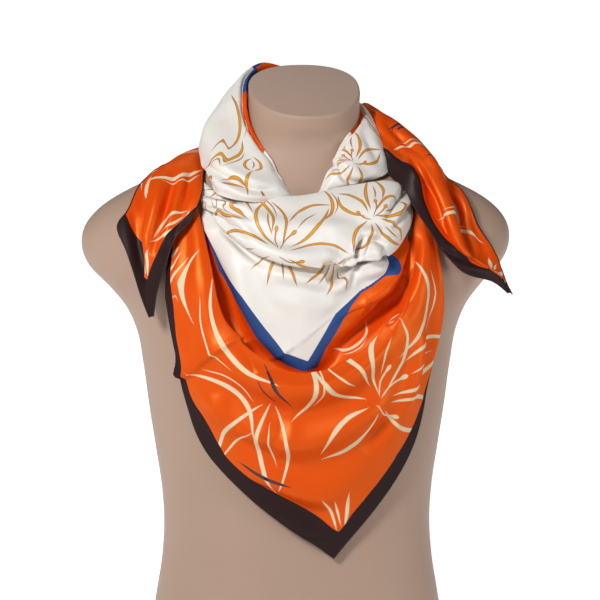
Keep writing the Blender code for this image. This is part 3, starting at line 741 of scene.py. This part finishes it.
def laid_flat(grid, start):
    """The flat places of a worn sheet, from a first guess, by pulling every edge to its worn length."""
    rows, columns = picked(grid.shape[0], FLAT_ROWS), picked(grid.shape[1], FLAT_COLUMNS)
    worn, flat = grid[np.ix_(rows, columns)], start[np.ix_(rows, columns)].copy()
    whole, but_last, but_first = slice(None), slice(None, -1), slice(1, None)
    edges = [
        ((whole, but_last), (whole, but_first)),
        ((but_last, whole), (but_first, whole)),
        ((but_last, but_last), (but_first, but_first)),
        ((but_last, but_first), (but_first, but_last)),
    ]
    for _ in range(FLAT_ROUNDS):
        move = np.zeros_like(flat)
        for a, b in edges:
            gap = flat[b] - flat[a]
            length = np.linalg.norm(gap, axis=2, keepdims=True)
            wanted = np.linalg.norm(worn[b] - worn[a], axis=2, keepdims=True)
            pull = gap * (1 - wanted / np.maximum(length, 1e-6))
            move[a] += pull
            move[b] -= pull
        flat += move / FLAT_EASE
    by_row = curve(rows, flat, np.arange(grid.shape[0]))
    return curve(columns, by_row.transpose(1, 0, 2), np.arange(grid.shape[1])).transpose(1, 0, 2)


Stroke = namedtuple("Stroke", "line half_width")
# A stroke's breadth, from 0 to 1, at some shares of its length.
TAPERED = ((0, 0.16), (0.15, 0.62), (0.45, 1.0), (0.78, 0.72), (1, 0.12))
BALL_ENDED = ((0, 0.22), (0.55, 0.36), (0.80, 0.42), (0.93, 1.0), (1, 0.94))
STROKE_POINTS = 20
STROKE_SHARES = np.linspace(0, 1, STROKE_POINTS)


def strokes_of(motif, flat, pen):
    """The brush strokes of a motif, where it lies on the flat cloth."""
    rows, columns = flat.shape[:2]
    origin = flat[round(motif.at[1] * (rows - 1)), round(motif.at[0] * (columns - 1))]
    turn = math.radians(motif.turn)
    spin = np.array([[math.cos(turn), math.sin(turn)], [-math.sin(turn), math.cos(turn)]])
    for line in motif.drawing:
        places = np.array(line.places) * [motif.side, 1] @ spin * motif.size + origin
        breadth = np.interp(STROKE_SHARES, *zip(*(BALL_ENDED if isinstance(line, Ball) else TAPERED)))
        yield Stroke(smooth_line(places, STROKE_POINTS), pen * line.pen / 2 * breadth)


INK_REACH = 8.0  # how far from a stroke its side is still told
INK_APART = 9.0  # strokes nearer to each other than this go on layers of their own
NO_STROKE = 0.1  # the half width where no stroke is near
LIGHT_LAYERS = ("light_ink_1", "light_ink_2", "light_ink_3", "light_ink_4", "light_ink_5")
DARK_LAYER = "dark_ink"
LIGHT_ONLY = ("cowl", "collar_right", "collar_left")  # the stretches where ticks are in light ink too


def gap_between(stroke, others):
    """How near a stroke comes to any of the others."""
    if not others:
        return math.inf
    places = np.concatenate([other.line for other in others])
    return np.linalg.norm(stroke.line[:, None] - places, axis=2).min()


def ink_of(flat, strokes):
    """How far left of its nearest stroke each flat place is, that stroke's half width, and the gap."""
    places = flat.reshape(-1, 2)
    ink = np.tile([INK_REACH, NO_STROKE, INK_REACH], (len(places), 1))
    for stroke in strokes:
        close = around(stroke.line, places, INK_REACH)
        found = nearest(stroke.line, places[close])
        half_width = np.interp(found.share, STROKE_SHARES, stroke.half_width)
        better = found.gap < ink[close, 2]
        told = np.stack([found.side, half_width, found.gap], axis=1)
        ink[close[better]] = told[better]
    return ink


def print_of(node, flat):
    """The layers of ink on a stretch: light strokes that cross lie on different layers, dark ones on one."""
    layers = {layer: [] for layer in (*LIGHT_LAYERS, DARK_LAYER)}
    for motif in PRINTS[node]:
        for stroke in strokes_of(motif, flat, PENS[node]):
            gaps = {layer: gap_between(stroke, layers[layer]) for layer in LIGHT_LAYERS}
            free = [layer for layer in LIGHT_LAYERS if gaps[layer] > INK_APART]
            layer = free[0] if free else max(gaps, key=gaps.get)
            dark = motif.drawing is TICKS and node not in LIGHT_ONLY
            layers[DARK_LAYER if dark else layer].append(stroke)
    return {layer: ink_of(flat, strokes) for layer, strokes in layers.items()}


def turned_print(node, flat):
    """The same, for a stretch whose rows run round the neck: its print is placed across it and down it."""
    rows, columns = flat.shape[:2]
    layers = print_of(node, flat.transpose(1, 0, 2))
    by_row = {layer: ink.reshape(columns, rows, 3).transpose(1, 0, 2) for layer, ink in layers.items()}
    return {layer: ink.reshape(-1, 3) for layer, ink in by_row.items()}


# ---------------------------------------------------------------------------------------------------
# Materials
class Shade:
    """A material under construction. add makes one node and returns one of its sockets."""

    def __init__(self, name):
        self.material = bpy.data.materials.new(name)
        self.material.use_nodes = True
        self.nodes = self.material.node_tree.nodes
        self.surface = self.nodes["Principled BSDF"]

    def put(self, socket, value):
        if isinstance(value, Amount):
            self.material.node_tree.links.new(value.socket, socket)
        else:
            socket.default_value = value

    def add(self, kind, settings=None, values=None, output=0):
        node = self.nodes.new(kind)
        for name, setting in (settings or {}).items():
            setattr(node, name, setting)
        for name, value in (values or {}).items():
            self.put(node.inputs[name], value)
        return Amount(self, node.outputs[output])

    def attribute(self, name, output="Fac"):
        return self.add("ShaderNodeAttribute", {"attribute_name": name}, output=output)

    def parts(self, vector):
        """The three numbers of a vector."""
        return [self.add("ShaderNodeSeparateXYZ", values={0: vector}, output=i) for i in range(3)]

    def step(self, amount, at, soft):
        """0 where the amount is below at and 1 above it, with a soft edge."""
        values = {"Value": amount, "From Min": at - soft, "From Max": at + soft}
        return self.add("ShaderNodeMapRange", {"interpolation_type": "SMOOTHSTEP"}, values)

    def mix(self, share, first, second):
        """The first colour where the share is 0, the second where it is 1."""
        values = {0: share, 6: first, 7: second}
        return self.add("ShaderNodeMix", {"data_type": "RGBA"}, values, output=2)

    def noise(self, place, scale, detail=2.0, roughness=0.5):
        values = {"Vector": place, "Scale": scale, "Detail": detail, "Roughness": roughness}
        return self.add("ShaderNodeTexNoise", values=values)

    def bump(self, strength, depth, height):
        """The surface's relief. depth is in metres."""
        return self.add("ShaderNodeBump", values={"Strength": strength, "Distance": depth, "Height": height})

    def fill(self, surface, values):
        for name, value in values.items():
            self.put(surface.inputs[name.replace("_", " ")], value)

    def over(self, share, **values):
        """Lays a second surface over the first, to the share given."""
        second = self.nodes.new("ShaderNodeBsdfPrincipled")
        self.fill(second, values)
        both = self.nodes.new("ShaderNodeMixShader")
        self.put(both.inputs[0], share)
        links = self.material.node_tree.links
        links.new(self.surface.outputs[0], both.inputs[1])
        links.new(second.outputs[0], both.inputs[2])
        links.new(both.outputs[0], self.nodes["Material Output"].inputs["Surface"])

    def finish(self, **values):
        self.fill(self.surface, values)
        return self.material


class Amount:
    """A shader socket that holds a number, so that sums on it read as sums."""

    def __init__(self, shade, socket):
        self.shade = shade
        self.socket = socket

    def maths(self, operation, first, second=0.0):
        return self.shade.add("ShaderNodeMath", {"operation": operation}, {0: first, 1: second})

    def __add__(self, other):
        return self.maths("ADD", self, other)

    def __radd__(self, other):
        return self.maths("ADD", other, self)

    def __sub__(self, other):
        return self.maths("SUBTRACT", self, other)

    def __rsub__(self, other):
        return self.maths("SUBTRACT", other, self)

    def __mul__(self, other):
        return self.maths("MULTIPLY", self, other)

    def __rmul__(self, other):
        return self.maths("MULTIPLY", other, self)

    def __pow__(self, other):
        return self.maths("POWER", self, other)

    def __abs__(self):
        return self.maths("ABSOLUTE", self)

    def or_more(self, other):
        return self.maths("MAXIMUM", self, other)

    def sine(self):
        return self.maths("SINE", self)


def rgb(text):
    """A colour from its six hexadecimal digits, as linear light."""
    channels = [int(text[i : i + 2], 16) / 255 for i in (0, 2, 4)]
    return (*[c / 12.92 if c < 0.04045 else ((c + 0.055) / 1.055) ** 2.4 for c in channels], 1)


DARK_BORDER = rgb("2B1A1B")
HEM_FLECK = rgb("382426")
ORANGE = (0.76, 0.074, 0.003, 1)
DEEP_ORANGE = (0.70, 0.060, 0.002, 1)
ORANGE_GLEAM = (1.0, 0.47, 0.11, 1)
WHITE_GLEAM = (1.0, 0.97, 0.93, 1)
BLUE = rgb("2F4C84")
OFF_WHITE = rgb("E7E4DF")
WARM_WHITE = rgb("E2DDD4")
CREAM = rgb("E0CFAA")
GOLD = rgb("D89A2E")
GOLD_EDGE = rgb("A86416")
NAVY = rgb("1F2440")
TAUPE = rgb("B19583")
TAUPE_SHADE = rgb("A98D7B")
FLOOR = rgb("D9D8D6")
FLOOR_FAR = rgb("F8F8F8")
FLOOR_GLOW = (0.02, 0.02, 0.02, 1)
FLOOR_FAR_GLOW = (1, 1, 1, 1)

EDGE = 0.35  # softness of a printed edge
GOLD_RIM, GOLD_RIM_EDGE = 0.7, 0.3  # breadth of the darker rim of a gold line, and its softness
INK_LIMIT, INK_FADE = 3.0, 0.4  # beyond this gap there is no ink, and how softly it ends
TWILL = 0.55  # spacing of the twill lines
TWILL_RISE = 0.3  # their height beside that of the slubs
CLOUD, SLUB, FLECK = 0.012, 0.35, 0.5  # how many patches, slubs and flecks to a mm of the silk
FLECK_SHARE = 0.5  # how far the hem's flecks take its colour to theirs
STITCH_PULL = 8  # how narrow the pull of a hem stitch is: the more, the narrower
PAINT_CLOUD, PAINT_GRAIN = 9.0, 900.0  # how many patches and grains to a metre of the form
# The roughness of the silk's gleam, of the hem and of the form, and how much rougher each is in places.
GLEAM_ROUGH, GLEAM_ROUGHER = 0.42, 0.06
HEM_ROUGH, HEM_ROUGHER = 0.45, 0.1
PAINT_ROUGH, PAINT_ROUGHER = 0.5, 0.1
# How much of the silk gleams: of all of it, and how much more of its centre and of its coloured ground.
GLEAM, CENTRE_GLEAM, COLOUR_GLEAM = 0.012, 0.02, 0.09


def inked(shade, layer):
    """Where a layer has ink, and where it has it further in than the rim of a line."""
    side, half_width, gap = shade.parts(shade.attribute(layer, "Vector"))
    inside = half_width - abs(side)
    near_line = 1 - shade.step(gap, INK_LIMIT, INK_FADE)
    return shade.step(inside, 0, EDGE) * near_line, shade.step(inside, GOLD_RIM, GOLD_RIM_EDGE) * near_line


def silk():
    """Satin silk with the printed square's zones and line drawing, laid out on the flat cloth."""
    shade = Shade("printed_silk")
    hem = shade.attribute("hem_distance")
    cloth = shade.attribute("cloth_place", "Vector")
    cloud = shade.noise(cloth, CLOUD, detail=3.0)
    light, light_core = inked(shade, LIGHT_LAYERS[0])
    for layer in LIGHT_LAYERS[1:]:
        ink, core = inked(shade, layer)
        light, light_core = light.or_more(ink), light_core.or_more(core)
    dark, _ = inked(shade, DARK_LAYER)
    in_field = shade.step(hem, BORDER, EDGE)
    in_stripe = shade.step(hem, BORDER + FIELD, EDGE)
    in_centre = shade.step(hem, BORDER + FIELD + STRIPE, EDGE)
    field = shade.mix(cloud, DEEP_ORANGE, ORANGE)
    centre = shade.mix(cloud, WARM_WHITE, OFF_WHITE)
    gold = shade.mix(light_core, GOLD_EDGE, GOLD)
    line_colour = shade.mix(in_centre, CREAM, gold)
    drawn_on = in_field * (1 - in_stripe) + in_centre
    ground = shade.mix(in_field, DARK_BORDER, field)
    ground = shade.mix(in_stripe, ground, BLUE)
    ground = shade.mix(in_centre, ground, centre)
    drawn = shade.mix(light * drawn_on, ground, line_colour)
    drawn = shade.mix(dark * in_field * (1 - in_stripe), drawn, NAVY)
    across, up, _ = shade.parts(cloth)
    twill = ((across + up) * (2 * math.pi / TWILL)).sine()
    slub = shade.noise(cloth, SLUB)
    bump = shade.bump(strength=0.05, depth=0.0002, height=twill * TWILL_RISE + slub)
    coloured = in_field * (1 - in_stripe) * (1 - light)
    shade.over(
        GLEAM + in_centre * CENTRE_GLEAM + coloured * COLOUR_GLEAM,
        Base_Color=shade.mix(coloured, WHITE_GLEAM, ORANGE_GLEAM),
        Metallic=1.0,
        Roughness=GLEAM_ROUGH + cloud * GLEAM_ROUGHER,
        Normal=bump,
    )
    return shade.finish(Base_Color=drawn, Roughness=0.8, Normal=bump, Specular_IOR_Level=0.0)


def hem_silk():
    """The dark silk of the rolled hem, pulled in at every stitch."""
    shade = Shade("hem_silk")
    pulled = (shade.attribute("stitch") * math.pi).sine() ** STITCH_PULL
    fleck = shade.noise(shade.attribute("cloth_place", "Vector"), FLECK)
    colour = shade.mix(fleck * FLECK_SHARE, DARK_BORDER, HEM_FLECK)
    bump = shade.bump(strength=0.5, depth=0.0004, height=1 - pulled)
    roughness = HEM_ROUGH + fleck * HEM_ROUGHER
    return shade.finish(Base_Color=colour, Roughness=roughness, Normal=bump, Specular_IOR_Level=0.3)


def form_paint():
    """Matte taupe paint with a fine, slightly uneven grain."""
    shade = Shade("form_paint")
    place = shade.add("ShaderNodeTexCoord", output="Object")
    cloud = shade.noise(place, PAINT_CLOUD, detail=3.0)
    grain = shade.noise(place, PAINT_GRAIN, roughness=0.6)
    colour = shade.mix(cloud, TAUPE_SHADE, TAUPE)
    bump = shade.bump(strength=0.08, depth=0.0003, height=grain + cloud)
    roughness = PAINT_ROUGH + grain * PAINT_ROUGHER
    return shade.finish(Base_Color=colour, Roughness=roughness, Normal=bump, Specular_IOR_Level=0.35)


def floor_paint():
    """Pale floor. Behind the form and far off it is lit from within, so that it runs on into plain white."""
    shade = Shade("floor_paint")
    place = shade.add("ShaderNodeTexCoord", output="Object")
    side, back, _ = shade.parts(place)
    far = (side * side + back * back) ** 0.5
    behind = shade.step(back, FLOOR_MIDDLE, FLOOR_BLEND)
    lit = behind.or_more(shade.step(far, FLOOR_FAR_MIDDLE, FLOOR_FAR_BLEND))
    return shade.finish(
        Base_Color=shade.mix(lit, FLOOR, FLOOR_FAR),
        Roughness=0.9,
        Specular_IOR_Level=0.1,
        Emission_Color=shade.mix(lit, FLOOR_GLOW, FLOOR_FAR_GLOW),
        Emission_Strength=0.95,
    )


# ---------------------------------------------------------------------------------------------------
# Making the pieces
def grid_faces(rows, columns, closed=False):
    """The quads of a grid listed row by row. A closed one joins its last column to its first."""
    number = np.arange(rows * columns).reshape(rows, columns)
    if closed:
        number = np.concatenate([number, number[:, :1]], axis=1)
    corners = [number[:-1, :-1], number[:-1, 1:], number[1:, 1:], number[1:, :-1]]
    return np.stack(corners, axis=-1).reshape(-1, 4)


def tube_faces(rings, sides):
    """The quads round a tube, ring by ring, and the two faces that close its ends."""
    number = list(range(rings * sides))
    return [*grid_faces(rings, sides, closed=True).tolist(), number[:sides][::-1], number[-sides:]]


def in_scene(name, data):
    """A new object in the scene, of the mesh, light or camera given."""
    thing = bpy.data.objects.new(name, data)
    bpy.context.scene.collection.objects.link(thing)
    return thing


def add_piece(name, points, faces, material):
    """A mesh object of the points, in mm, that rides on the part's one body."""
    mesh = bpy.data.meshes.new(name)
    mesh.from_pydata((np.asarray(points) * MM).tolist(), [], [tuple(face) for face in faces])
    mesh.shade_smooth()
    mesh.materials.append(material)
    piece = in_scene(name, mesh)
    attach(piece, "root")
    return piece


def write_attribute(piece, name, values):
    """Stores a number, or a place, for every point of the piece."""
    values = np.asarray(values, np.float32)
    if values.ndim == 1:
        piece.data.attributes.new(name, "FLOAT", "POINT").data.foreach_set("value", values)
        return
    if values.shape[1] == 2:
        values = np.concatenate([values, np.zeros((len(values), 1), np.float32)], axis=1)
    piece.data.attributes.new(name, "FLOAT_VECTOR", "POINT").data.foreach_set("vector", values.ravel())


def declare_cut(piece, node, hems=()):
    """Hangs the hems that are sewn on a stretch of cloth from its piece."""
    for hem in hems:
        hem.parent = piece


def cloth_piece(node, sheet, flat, hem_distance):
    """A thin shell of printed silk on the sheet, as the worn form of a node."""
    rows, columns = sheet.grid.shape[:2]
    count = rows * columns
    half = sheet.normal * THICKNESS / 2
    points = np.concatenate([sheet.grid + half, sheet.grid - half]).reshape(-1, 3)
    outer = grid_faces(rows, columns)
    inner = outer[:, ::-1] + count
    number = np.arange(count).reshape(rows, columns)
    rim = np.concatenate([number[0], number[1:, -1], number[-1, -2::-1], number[-2:0:-1, 0]])
    onward = np.roll(rim, -1)
    edge = np.stack([onward, rim, rim + count, onward + count], axis=1)
    slot = "silk_centre" if node in CENTRE_NODES else "silk_border"
    piece = add_piece(node + "_silk", points, np.concatenate([outer, inner, edge]), SILK)
    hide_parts(node)
    ink = (turned_print if node in WRAP_NODES else print_of)(node, flat)
    layers = {"hem_distance": hem_distance.ravel(), "cloth_place": flat.reshape(-1, 2), **ink}
    for name, values in layers.items():
        write_attribute(piece, name, np.concatenate([values, values]))
    return piece


NEARLY_UP = (0.02, 0.01, 1.0)  # a way that no hem runs


def hem_roll(name, line):
    """The rolled hem along an edge of the cloth."""
    line = evenly(line, int(along(line)[-1] / HEM_STEP))
    heading = unit(np.gradient(line, axis=0))
    side = unit(np.cross(heading, NEARLY_UP))
    lift = np.cross(side, heading)
    turn = np.linspace(0, 2 * math.pi, HEM_SIDES, endpoint=False)
    ring = np.cos(turn)[None, :, None] * side[:, None] + np.sin(turn)[None, :, None] * lift[:, None]
    points = (line[:, None] + HEM_RADIUS * ring).reshape(-1, 3)
    piece = add_piece(name, points, tube_faces(len(line), HEM_SIDES), HEM_SILK)
    length = along(line)
    write_attribute(piece, "stitch", np.repeat(length / STITCH, HEM_SIDES))
    places = np.stack([np.repeat(length, HEM_SIDES), np.tile(turn, len(line))], axis=1)
    write_attribute(piece, "cloth_place", places)
    return piece


def chest_layout(sheet):
    """The (x, z) of a sheet's points."""
    return sheet.grid[..., [0, 2]]


def unfolded(sheet, first_line, last_line):
    """A first guess at a stretch laid flat: its front view between two lines, and straight on beyond them."""
    layout = chest_layout(sheet)
    first, last = np.searchsorted(sheet.line, [first_line, last_line])
    near = (last - first) // 3  # the rows over which its way at each line is read
    steps = np.linalg.norm(np.diff(sheet.grid, axis=0), axis=2)
    height = np.cumsum(steps[:first][::-1], axis=0)[::-1]
    depth = np.cumsum(steps[last:], axis=0)
    way_up = unit(layout[first] - layout[first + near])
    way_down = unit(layout[last] - layout[last - near])
    flat = layout.copy()
    flat[:first] = layout[first] + height[..., None] * way_up
    flat[last + 1 :] = layout[last] + depth[..., None] * way_down
    return flat


def clear_of_form(sheet):
    """The sheet again, kept in front of the form where a trough would sink into it."""
    x, y, z = np.moveaxis(sheet.grid, -1, 0)
    y = np.minimum(y, form_front(x.ravel(), z.ravel()).reshape(x.shape) - CLEARANCE)
    grid = np.stack([x, y, z], axis=-1)
    return Sheet(grid, normals_of(grid), sheet.line)


def eased(line, seam):
    """1 at the seam line, falling softly to 0."""
    near = np.clip(1 - np.abs(line - seam) / SEAM_EASE, 0, 1)
    return (near**2 * (3 - 2 * near))[:, None, None]


def joined(upper, lower):
    """Two sheets again, brought together along the line where one runs on into the other."""
    half_gap = (lower.grid[0] - upper.grid[-1]) / 2
    seam = lower.line[0]
    upper_grid = upper.grid + eased(upper.line, seam) * half_gap
    lower_grid = lower.grid - eased(lower.line, seam) * half_gap
    upper_normal, lower_normal = normals_of(upper_grid), normals_of(lower_grid)
    upper_normal[-1] = lower_normal[0] = unit(upper_normal[-1] + lower_normal[0])
    return Sheet(upper_grid, upper_normal, upper.line), Sheet(lower_grid, lower_normal, lower.line)


def centre_distance(sheet):
    """The distance from the hem where the edge of the stripe and that of the centre cross a sheet."""
    places = chest_layout(sheet).reshape(-1, 2)
    inside_centre = nearest(np.array(CENTRE_EDGE, float), places).side
    inside_stripe = nearest(np.array(STRIPE_EDGE, float), places).side
    share = np.clip(inside_stripe / np.maximum(inside_stripe - inside_centre, LEAST_STRIPE), 0, 1)
    distance = BORDER + FIELD + STRIPE * share + np.maximum(inside_centre, 0) + np.minimum(inside_stripe, 0)
    return distance.reshape(sheet.grid.shape[:2])


def front_distance(sheet, distance):
    """The distance from the hem on the front, with its border's inner edge moved to where it shows."""
    share = np.linspace(0, 1, sheet.grid.shape[1])
    edge = np.interp(share, *np.array(BORDER_LINE).T)
    line = sheet.line[:, None]
    beyond = BORDER * (HEM_LINE - line) / (HEM_LINE - edge)
    within = BORDER + (distance[0] - BORDER) * (edge - line) / (edge - sheet.line[0])
    return np.where(line > edge, beyond, within)


def wrap_layout(sheet):
    """The (angle, z) of a wrap sheet's points. Angles run from -360 to 0."""
    x, y = sheet.grid[..., 0] - WRAP_CENTRE[0], sheet.grid[..., 1] - WRAP_CENTRE[1]
    angle = np.degrees(np.arctan2(x, -y))
    return np.stack([np.where(angle > WRAP_GAP, angle - 360, angle), sheet.grid[..., 2]], axis=-1)


def between(angle, ends):
    """Whether each angle lies between the two ends."""
    return np.abs(angle - np.mean(ends)) < np.ptp(ends) / 2


def wrap_distance(layout, in_layer):
    """The distance from the hem on the wrap, and on the layer that shows inside its crest."""
    centre = BORDER + FIELD + STRIPE
    # the distance at some angles, from the right foot of the wrap round the nape to its left foot
    stops = {
        -360: CENTRE,
        STRIPE_RIGHT[0]: centre,
        STRIPE_RIGHT[1]: centre - STRIPE,
        NAPE_ANGLE: NAPE_DISTANCE,
        STRIPE_LEFT[0]: centre - STRIPE,
        STRIPE_LEFT[1]: centre,
        0: CENTRE,
    }
    angle = layout[..., 0] - STRIPE_LEAN * (layout[..., 1] - STRIPE_LEVEL)
    wrap = np.interp(angle, list(stops), list(stops.values()))
    layer = np.where(between(layout[..., 0], LAYER_ORANGE), IN_FIELD, CENTRE)
    layer = np.where(between(layout[..., 0], LAYER_STRIPE), centre - STRIPE / 2, layer)
    return np.where(in_layer, layer, wrap)


def chest_pieces():
    """The cowl, the fall inside it and the pointed front."""
    lines = [swag_line(row) for row in SWAGS]
    cut = np.array(SWAG_CUT)
    sheets, flats, distances = {}, {}, {}
    for node, first, last, rows, creases in (
        ("cowl", 0, 6, 165, COWL_CREASES),
        ("inner_fall", 6, 12, 130, INNER_CREASES),
        ("front_fall", 12, 18, 184, FRONT_CREASES),
    ):
        sheet = sheet_through(lines, first, last, rows)
        flats[node] = laid_flat(sheet.grid, unfolded(sheet, *FACES[node]))
        distances[node] = np.interp(sheet.line, *cut.T)[:, None] * np.ones(sheet.grid.shape[1])
        if node == "inner_fall":
            distances[node] = centre_distance(sheet)
        if node == "front_fall":
            distances[node] = front_distance(sheet, distances[node])
        sheets[node] = clear_of_form(creased(sheet, chest_layout(sheet), creases))
    for upper, lower in (("cowl", "inner_fall"), ("inner_fall", "front_fall")):
        sheets[upper], sheets[lower] = joined(sheets[upper], sheets[lower])
    for node, sheet in sheets.items():
        piece = cloth_piece(node, sheet, flats[node], distances[node])
        declare_cut(piece, node, [hem_roll("front_hem", sheet.grid[-1])] if node == "front_fall" else [])


def wrap_pieces():
    """The cloth round the neck: the right collar, the nape and the left collar."""
    lines = [wrap_line(row) for row in NECK_WRAP]
    scale = [math.radians(1) * WRAP_RADIUS, 1]
    creases = [Crease(c.height, c.width, np.array(c.places) * scale) for c in WRAP_CREASES]
    for node, first, last, rows in (
        ("collar_right", 0, 5, 160),
        ("back_wrap", 5, 9, 150),
        ("collar_left", 9, 15, 170),
    ):
        sheet = sheet_through(lines, first, last, rows)
        layout = wrap_layout(sheet)
        down = np.stack([along(line) for line in sheet.grid])
        in_layer = down < LAYER_WIDTH
        crest = sheet.grid[..., 2].max(axis=1)[:, None]
        flat = laid_flat(sheet.grid, np.stack([layout[..., 0] * scale[0], crest - down], axis=-1))
        flat[in_layer] += UNPRINTED
        sheet = creased(sheet, layout * scale, creases)
        declare_cut(cloth_piece(node, sheet, flat, wrap_distance(layout, in_layer)), node)


def tail_pieces():
    """The two ends of the square."""
    for node, table, creases, rows in (
        ("tail_left", TAIL_LEFT, LEFT_CREASES, 170),
        ("tail_right", TAIL_RIGHT, RIGHT_CREASES, 170),
    ):
        lines = [smooth_line(row[:-2], TAIL_ACROSS) for row in table]
        sheet = sheet_through(lines, 0, len(table) - 1, rows)
        middle = TAIL_ACROSS // 2
        across = np.stack([along(line) for line in sheet.grid])
        down = along(sheet.grid[:, middle])[:, None]
        start = np.stack(np.broadcast_arrays(across - across[:, middle, None], down.mean() - down), axis=-1)
        flat = laid_flat(sheet.grid, start)
        hems = curve(np.arange(len(table)), [row[-2:] for row in table], sheet.line)
        hem_distance = np.minimum(across + hems[:, :1], across[:, -1:] - across + hems[:, 1:])
        sheet = creased(sheet, chest_layout(sheet), creases)
        piece = cloth_piece(node, sheet, flat, hem_distance)
        hems = [hem_roll(node + "_hem", sheet.grid[:, 0]), hem_roll(node + "_outer_hem", sheet.grid[:, -1])]
        declare_cut(piece, node, hems)


def form_ring(z, lean, half_width, front, back, tilt, inset):
    """One section of the form, inset from its full size by the rounding of a rim."""
    turn = np.linspace(0, 2 * math.pi, FORM_RING, endpoint=False)
    power = 2 / FORM_SQUARENESS
    along_x = np.sign(np.sin(turn)) * np.abs(np.sin(turn)) ** power
    along_y = -np.sign(np.cos(turn)) * np.abs(np.cos(turn)) ** power
    y = along_y * (np.where(along_y < 0, front, back) - inset)
    middle = (back - front) / 2
    return np.stack([lean + along_x * (half_width - inset), y, z + tilt * (y - middle)], axis=1)


def dress_form():
    """The form, from its flat foot to its flat neck cap."""
    heights = [row.z for row in FORM_ROWS]
    tilts = [row.tilt for row in FORM_ROWS]
    top = heights[-1]
    levels = np.arange(FORM_EDGE, top - FORM_EDGE, FORM_LEVEL)
    bend = np.linspace(0, math.pi / 2, FORM_RIM_STEPS)
    foot_rim = [(FORM_EDGE * (1 - math.sin(b)), FORM_EDGE * (1 - math.cos(b))) for b in bend[::-1]]
    neck_rim = [(top - FORM_EDGE * (1 - math.sin(b)), FORM_EDGE * (1 - math.cos(b))) for b in bend]
    rings = [
        form_ring(z, *form_section(z)[:, 0], np.interp(z, heights, tilts), inset)
        for z, inset in foot_rim + [(z, 0.0) for z in levels[1:]] + neck_rim
    ]
    faces = tube_faces(len(rings), FORM_RING)
    piece = add_piece("form_body", np.concatenate(rings), faces, FORM_PAINT)
    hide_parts("dress_form")


# ---------------------------------------------------------------------------------------------------
# The view, the light and the floor, all in metres
VIEW_AZIMUTH, VIEW_ELEVATION = math.radians(-6), math.radians(12)
VIEW_DISTANCE = 2.4
VIEW_HALF_WIDTH = 0.324  # what is taken in to each side of the target
VIEW_TARGET = Vector((-0.006, -0.090, 0.462))
VIEW_REACH = 100
FILM_WIDTH = 36  # mm


def aim(thing, place, target):
    """Puts a light or a camera at the place and turns it to the target."""
    thing.location = place
    thing.rotation_mode = "QUATERNION"
    thing.rotation_quaternion = (Vector(target) - Vector(place)).to_track_quat("-Z", "Y")


def add_camera():
    """The view from in front, a little to the form's right and above."""
    camera = bpy.data.cameras.new("view")
    camera.sensor_width = FILM_WIDTH
    camera.lens = FILM_WIDTH / 2 * VIEW_DISTANCE / VIEW_HALF_WIDTH
    camera.clip_end = VIEW_REACH
    view = in_scene("view", camera)
    level = math.cos(VIEW_ELEVATION)
    back = Vector((math.sin(VIEW_AZIMUTH) * level, -math.cos(VIEW_AZIMUTH) * level, math.sin(VIEW_ELEVATION)))
    aim(view, VIEW_TARGET + back * VIEW_DISTANCE, VIEW_TARGET)
    bpy.context.scene.camera = view


SoftBox = namedtuple("SoftBox", "name place width height watts")
SOFT_BOXES = [
    SoftBox("key", (-1.08, -1.66, 1.66), 0.45, 0.45, 42.5),
    SoftBox("fill", (1.7, -1.3, 0.35), 0.8, 0.8, 10),
    SoftBox("back", (0.2, 1.9, 2.4), 1.6, 0.6, 9),
]
LIGHT_TARGET = (0, 0, 0.5)
ROOM_LIGHT = 0.10  # strength of the white light from all round


def add_light():
    """An even room light and three soft boxes."""
    world = bpy.data.worlds.new("room")
    world.use_nodes = True
    background = world.node_tree.nodes["Background"]
    background.inputs["Color"].default_value = (1, 1, 1, 1)
    background.inputs["Strength"].default_value = ROOM_LIGHT
    bpy.context.scene.world = world
    for box in SOFT_BOXES:
        lamp = bpy.data.lights.new(box.name, "AREA")
        lamp.shape = "RECTANGLE"
        lamp.size, lamp.size_y, lamp.energy = box.width, box.height, box.watts
        aim(in_scene(box.name, lamp), box.place, LIGHT_TARGET)


FLOOR_REACH = 40
# Where the floor begins to be lit from within, and how softly: behind the form, and far off on every side.
FLOOR_MIDDLE, FLOOR_BLEND = -0.15, 0.5
FLOOR_FAR_MIDDLE, FLOOR_FAR_BLEND = 3.4, 1.9


def add_floor():
    """The pale floor under the form, which reaches out of sight."""
    mesh = bpy.data.meshes.new("floor")
    corners = [(x * FLOOR_REACH, y * FLOOR_REACH, 0) for x, y in ((-1, -1), (1, -1), (1, 1), (-1, 1))]
    mesh.from_pydata(corners, [], [(0, 1, 2, 3)])
    mesh.materials.append(floor_paint())
    floor = in_scene("floor", mesh)
    floor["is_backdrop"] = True


bpy.context.scene.view_settings.view_transform = "Standard"
add_camera()
add_light()
add_floor()
SILK = silk()
HEM_SILK = hem_silk()
FORM_PAINT = form_paint()
dress_form()
chest_pieces()
wrap_pieces()
tail_pieces()

boxes = {"cad": CAD_BOX, "visual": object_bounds()}
{name: [list(corner) for corner in box] for name, box in boxes.items()}
